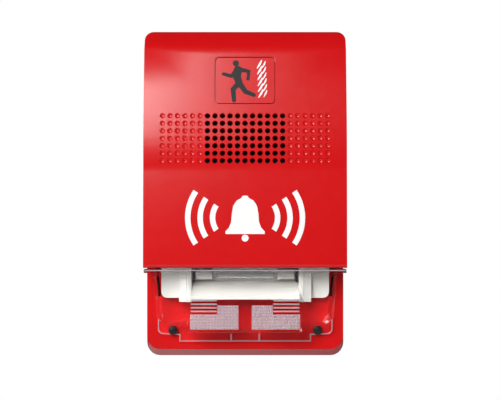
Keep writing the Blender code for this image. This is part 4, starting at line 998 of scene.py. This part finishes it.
# ---- Strobe ----
def build_strobe():
    soften("reflector", "white_plastic", "housing", 0.25 * MM, 3)
    depth, z = sum(depths("flash_tube")) / 2, (TUBE_LOW.z + TUBE_HIGH.z) / 2
    along = Matrix.Translation(at(0.0, depth, z)) @ Matrix.Rotation(math.pi / 2, 4, "Y")
    radius, half = TUBE_HIGH.z - z, TUBE_HIGH.x
    bm = bmesh.new()
    revolve(bm, [(0.0, -half), (radius * 0.8, -half), (radius, -half + 0.5 * MM),
                 (radius, half - 0.5 * MM), (radius * 0.8, half), (0.0, half)], along, 32)
    bore = radius * 0.68
    tube = start("flash_tube_glass", mesh_from(bm, "flash_tube_glass"))
    bm = bmesh.new()
    revolve(bm, [(0.0, -half + MM), (bore, -half + 1.4 * MM), (bore, half - 1.4 * MM),
                 (0.0, half - MM)], along, 24)
    cut(tube, mesh_from(bm, "bore"))
    shade_smooth(tube)
    finish_piece(tube, "tube_glass", "housing", "flash_tube")
    for side in ("left", "right"):
        soften(f"tube_cap_{side}", "zinc_steel", "housing", 0.3 * MM, 3)
        soften(f"tube_holder_{side}", "black_steel", "housing", 0.12 * MM)


# ---- Board, sounder and terminals ----
SWITCHES = ("candela", "volume", "tone")
# Frame nodes that get rounded edges: node, slot and the rounding in millimetres.
SOFTENED = (
    ("mounting_plate", "zinc_steel", 0.15), ("circuit_board", "green_board", 0.08),
    ("controller_chip", "black_plastic", 0.15), ("storage_capacitor", "black_plastic", 0.5),
    ("inductor", "copper", 0.2), ("trigger_coil", "cream_plastic", 0.3),
    ("terminal_block", "black_plastic", 0.2), ("sounder_housing", "black_plastic", 0.25),
    ("sounder_ring", "black_plastic", 0.2),
    *((f"{word}_switch", "black_plastic", 0.12) for word in SWITCHES),
    *((f"clamp_plate_{number}", "brass", 0.1) for number in range(1, 5)),
)
KEPT = {"acoustic_screen": "dark_foam", "trigger_wire": "red_sleeve", "sounder_diaphragm": "brass",
        "piezo_disc": "cream_plastic", "sounder_gasket": "dark_foam",
        "sounder_lead_red": "red_sleeve", "sounder_lead_black": "black_sleeve"}


def build_internals():
    for node, slot, width in SOFTENED:
        soften(node, slot, "housing", width * MM)
    for word in SWITCHES:
        soften(f"{word}_slider", "white_plastic", f"{word}_slider", 0.15 * MM)
    for node, slot in KEPT.items():
        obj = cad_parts[node]
        obj.data.materials.clear()
        obj.data.materials.append(finish_named(slot))


# ---- Stage ----
ROOM_LIGHT = 0.045               # light from in front, above and below
SIDE_LIGHT = 0.6                 # light from the side walls, which the clear edges reflect
WALL_START, WALL_FULL = 0.60, 0.95
FLOOR_DROP, FLOOR_RADIUS = 75 * MM, 0.42
LAMPS = (("key", (-0.32, -0.85, 0.41), 0.48, 9.5), ("fill", (-0.75, -0.30, -0.10), 0.50, 0.9))
CAMERA_PLACE = (1.9 * MM, -683 * MM, -1.95 * MM)
CAMERA_LENS = 122.0


def build_floor():
    bm = bmesh.new()
    bmesh.ops.create_circle(bm, cap_ends=True, segments=96, radius=FLOOR_RADIUS,
                            matrix=Matrix.Translation((0.0, 0.0, CAD_BOUNDS[0][2] - FLOOR_DROP)))
    floor = start("floor", mesh_from(bm, "floor"))
    paper = Finish("floor_paper")
    fibre = paper.grain(30 * MM, 3.0)
    tint = paper.between(fibre, (0.88, 0.88, 0.88), (0.93, 0.93, 0.93))
    floor.data.materials.append(paper.done(paper.surface(base_color=tint, roughness=0.9)))


def build_room():
    """White to the camera; as a light, dim in front of the object and brighter at both sides."""
    world = bpy.data.worlds.new("studio")
    world.use_nodes = True
    tree = world.node_tree
    back = tree.nodes["Background"]
    back.inputs["Color"].default_value = (1.0, 1.0, 1.0, 1.0)
    seen = tree.nodes.new("ShaderNodeLightPath")
    way = tree.nodes.new("ShaderNodeTexCoord")
    parts = tree.nodes.new("ShaderNodeSeparateXYZ")
    sideways = tree.nodes.new("ShaderNodeMath")
    sideways.operation = "ABSOLUTE"
    walls = tree.nodes.new("ShaderNodeMapRange")
    walls.interpolation_type = "SMOOTHSTEP"
    for name, value in (("From Min", WALL_START), ("From Max", WALL_FULL), ("To Min", ROOM_LIGHT),
                        ("To Max", SIDE_LIGHT)):
        walls.inputs[name].default_value = value
    level = tree.nodes.new("ShaderNodeMapRange")
    level.inputs["To Max"].default_value = 1.0
    tree.links.new(way.outputs["Generated"], parts.inputs["Vector"])
    tree.links.new(parts.outputs["X"], sideways.inputs[0])
    tree.links.new(sideways.outputs["Value"], walls.inputs["Value"])
    tree.links.new(walls.outputs["Result"], level.inputs["To Min"])
    tree.links.new(seen.outputs["Is Camera Ray"], level.inputs["Value"])
    tree.links.new(level.outputs["Result"], back.inputs["Strength"])
    bpy.context.scene.world = world
    bpy.context.scene.view_settings.view_transform = "Standard"


def build_lamps():
    for name, place, size, power in LAMPS:
        lamp = bpy.data.lights.new(name, "AREA")
        lamp.shape = "SQUARE"
        lamp.size = size
        lamp.energy = power
        obj = bpy.data.objects.new(name, lamp)
        bpy.context.scene.collection.objects.link(obj)
        obj.location = place
        obj.rotation_euler = (-Vector(place)).to_track_quat("-Z", "Y").to_euler()


def build_camera():
    camera_data = bpy.data.cameras.new("camera")
    camera_data.lens = CAMERA_LENS
    camera_data.sensor_width = 36.0
    camera = bpy.data.objects.new("camera", camera_data)
    bpy.context.scene.collection.objects.link(camera)
    camera.location = CAMERA_PLACE
    camera.rotation_euler = (math.pi / 2, 0.0, 0.0)
    bpy.context.scene.camera = camera


# ---- Add-on ----
class HORNSTROBE_OT_finishes(bpy.types.Operator):
    """Makes the materials"""

    bl_idname = "horn_strobe.finishes"
    bl_label = "Finishes"

    def execute(self, context):
        make_finishes(context.scene.horn_strobe_colours)
        return {"FINISHED"}


class HORNSTROBE_OT_cover(bpy.types.Operator):
    """Builds the red front cover with its grille, dimples and recess"""

    bl_idname = "horn_strobe.cover"
    bl_label = "Cover"

    def execute(self, context):
        build_cover(context.scene.horn_strobe_sizes)
        return {"FINISHED"}


class HORNSTROBE_OT_symbol(bpy.types.Operator):
    """Builds the symbol plate and its printed figure"""

    bl_idname = "horn_strobe.symbol"
    bl_label = "Symbol plate"

    def execute(self, context):
        build_symbol(context.scene.horn_strobe_sizes)
        return {"FINISHED"}


class HORNSTROBE_OT_bell(bpy.types.Operator):
    """Builds the white bell printed on the cover"""

    bl_idname = "horn_strobe.bell"
    bl_label = "Printed bell"

    def execute(self, context):
        build_bell(context.scene.horn_strobe_sizes)
        return {"FINISHED"}


class HORNSTROBE_OT_housing(bpy.types.Operator):
    """Builds the rear housing"""

    bl_idname = "horn_strobe.housing"
    bl_label = "Rear housing"

    def execute(self, context):
        build_housing()
        return {"FINISHED"}


class HORNSTROBE_OT_lens(bpy.types.Operator):
    """Builds the clear lens with its prisms"""

    bl_idname = "horn_strobe.lens"
    bl_label = "Lens"

    def execute(self, context):
        build_lens(context.scene.horn_strobe_sizes)
        return {"FINISHED"}


class HORNSTROBE_OT_screws(bpy.types.Operator):
    """Builds the screws"""

    bl_idname = "horn_strobe.screws"
    bl_label = "Screws"

    def execute(self, context):
        build_screws()
        return {"FINISHED"}


class HORNSTROBE_OT_strobe(bpy.types.Operator):
    """Builds the reflector, flash tube and its holders"""

    bl_idname = "horn_strobe.strobe"
    bl_label = "Strobe"

    def execute(self, context):
        build_strobe()
        return {"FINISHED"}


class HORNSTROBE_OT_internals(bpy.types.Operator):
    """Builds the board, sounder, terminals and switches"""

    bl_idname = "horn_strobe.internals"
    bl_label = "Board and sounder"

    def execute(self, context):
        build_internals()
        return {"FINISHED"}


class HORNSTROBE_OT_stage(bpy.types.Operator):
    """Builds the floor, lights and camera"""

    bl_idname = "horn_strobe.stage"
    bl_label = "Stage"

    def execute(self, context):
        build_floor()
        build_room()
        build_lamps()
        build_camera()
        return {"FINISHED"}


OPERATORS = (
    HORNSTROBE_OT_finishes,
    HORNSTROBE_OT_cover,
    HORNSTROBE_OT_symbol,
    HORNSTROBE_OT_bell,
    HORNSTROBE_OT_housing,
    HORNSTROBE_OT_lens,
    HORNSTROBE_OT_screws,
    HORNSTROBE_OT_strobe,
    HORNSTROBE_OT_internals,
    HORNSTROBE_OT_stage,
)


class HORNSTROBE_PT_panel(bpy.types.Panel):
    """Lists the pieces that can be built"""

    bl_label = "Wall Horn Strobe"
    bl_space_type = "VIEW_3D"
    bl_region_type = "UI"
    bl_category = "Horn Strobe"

    def draw(self, context):
        layout = self.layout
        for group in (context.scene.horn_strobe_sizes, context.scene.horn_strobe_colours):
            box = layout.box()
            for key in group.__annotations__:
                box.prop(group, key)
        for operator in OPERATORS:
            layout.operator(operator.bl_idname)


CLASSES = (StrobeSizes, StrobeColours, *OPERATORS, HORNSTROBE_PT_panel)


def register():
    for cls in CLASSES:
        bpy.utils.register_class(cls)
    bpy.types.Scene.horn_strobe_sizes = PointerProperty(type=StrobeSizes)
    bpy.types.Scene.horn_strobe_colours = PointerProperty(type=StrobeColours)


def unregister():
    del bpy.types.Scene.horn_strobe_colours
    del bpy.types.Scene.horn_strobe_sizes
    for cls in reversed(CLASSES):
        bpy.utils.unregister_class(cls)


def main():
    register()
    for operator in OPERATORS:
        getattr(bpy.ops.horn_strobe, operator.bl_idname.split(".")[1])()


if __name__ == "__main__":
    main()
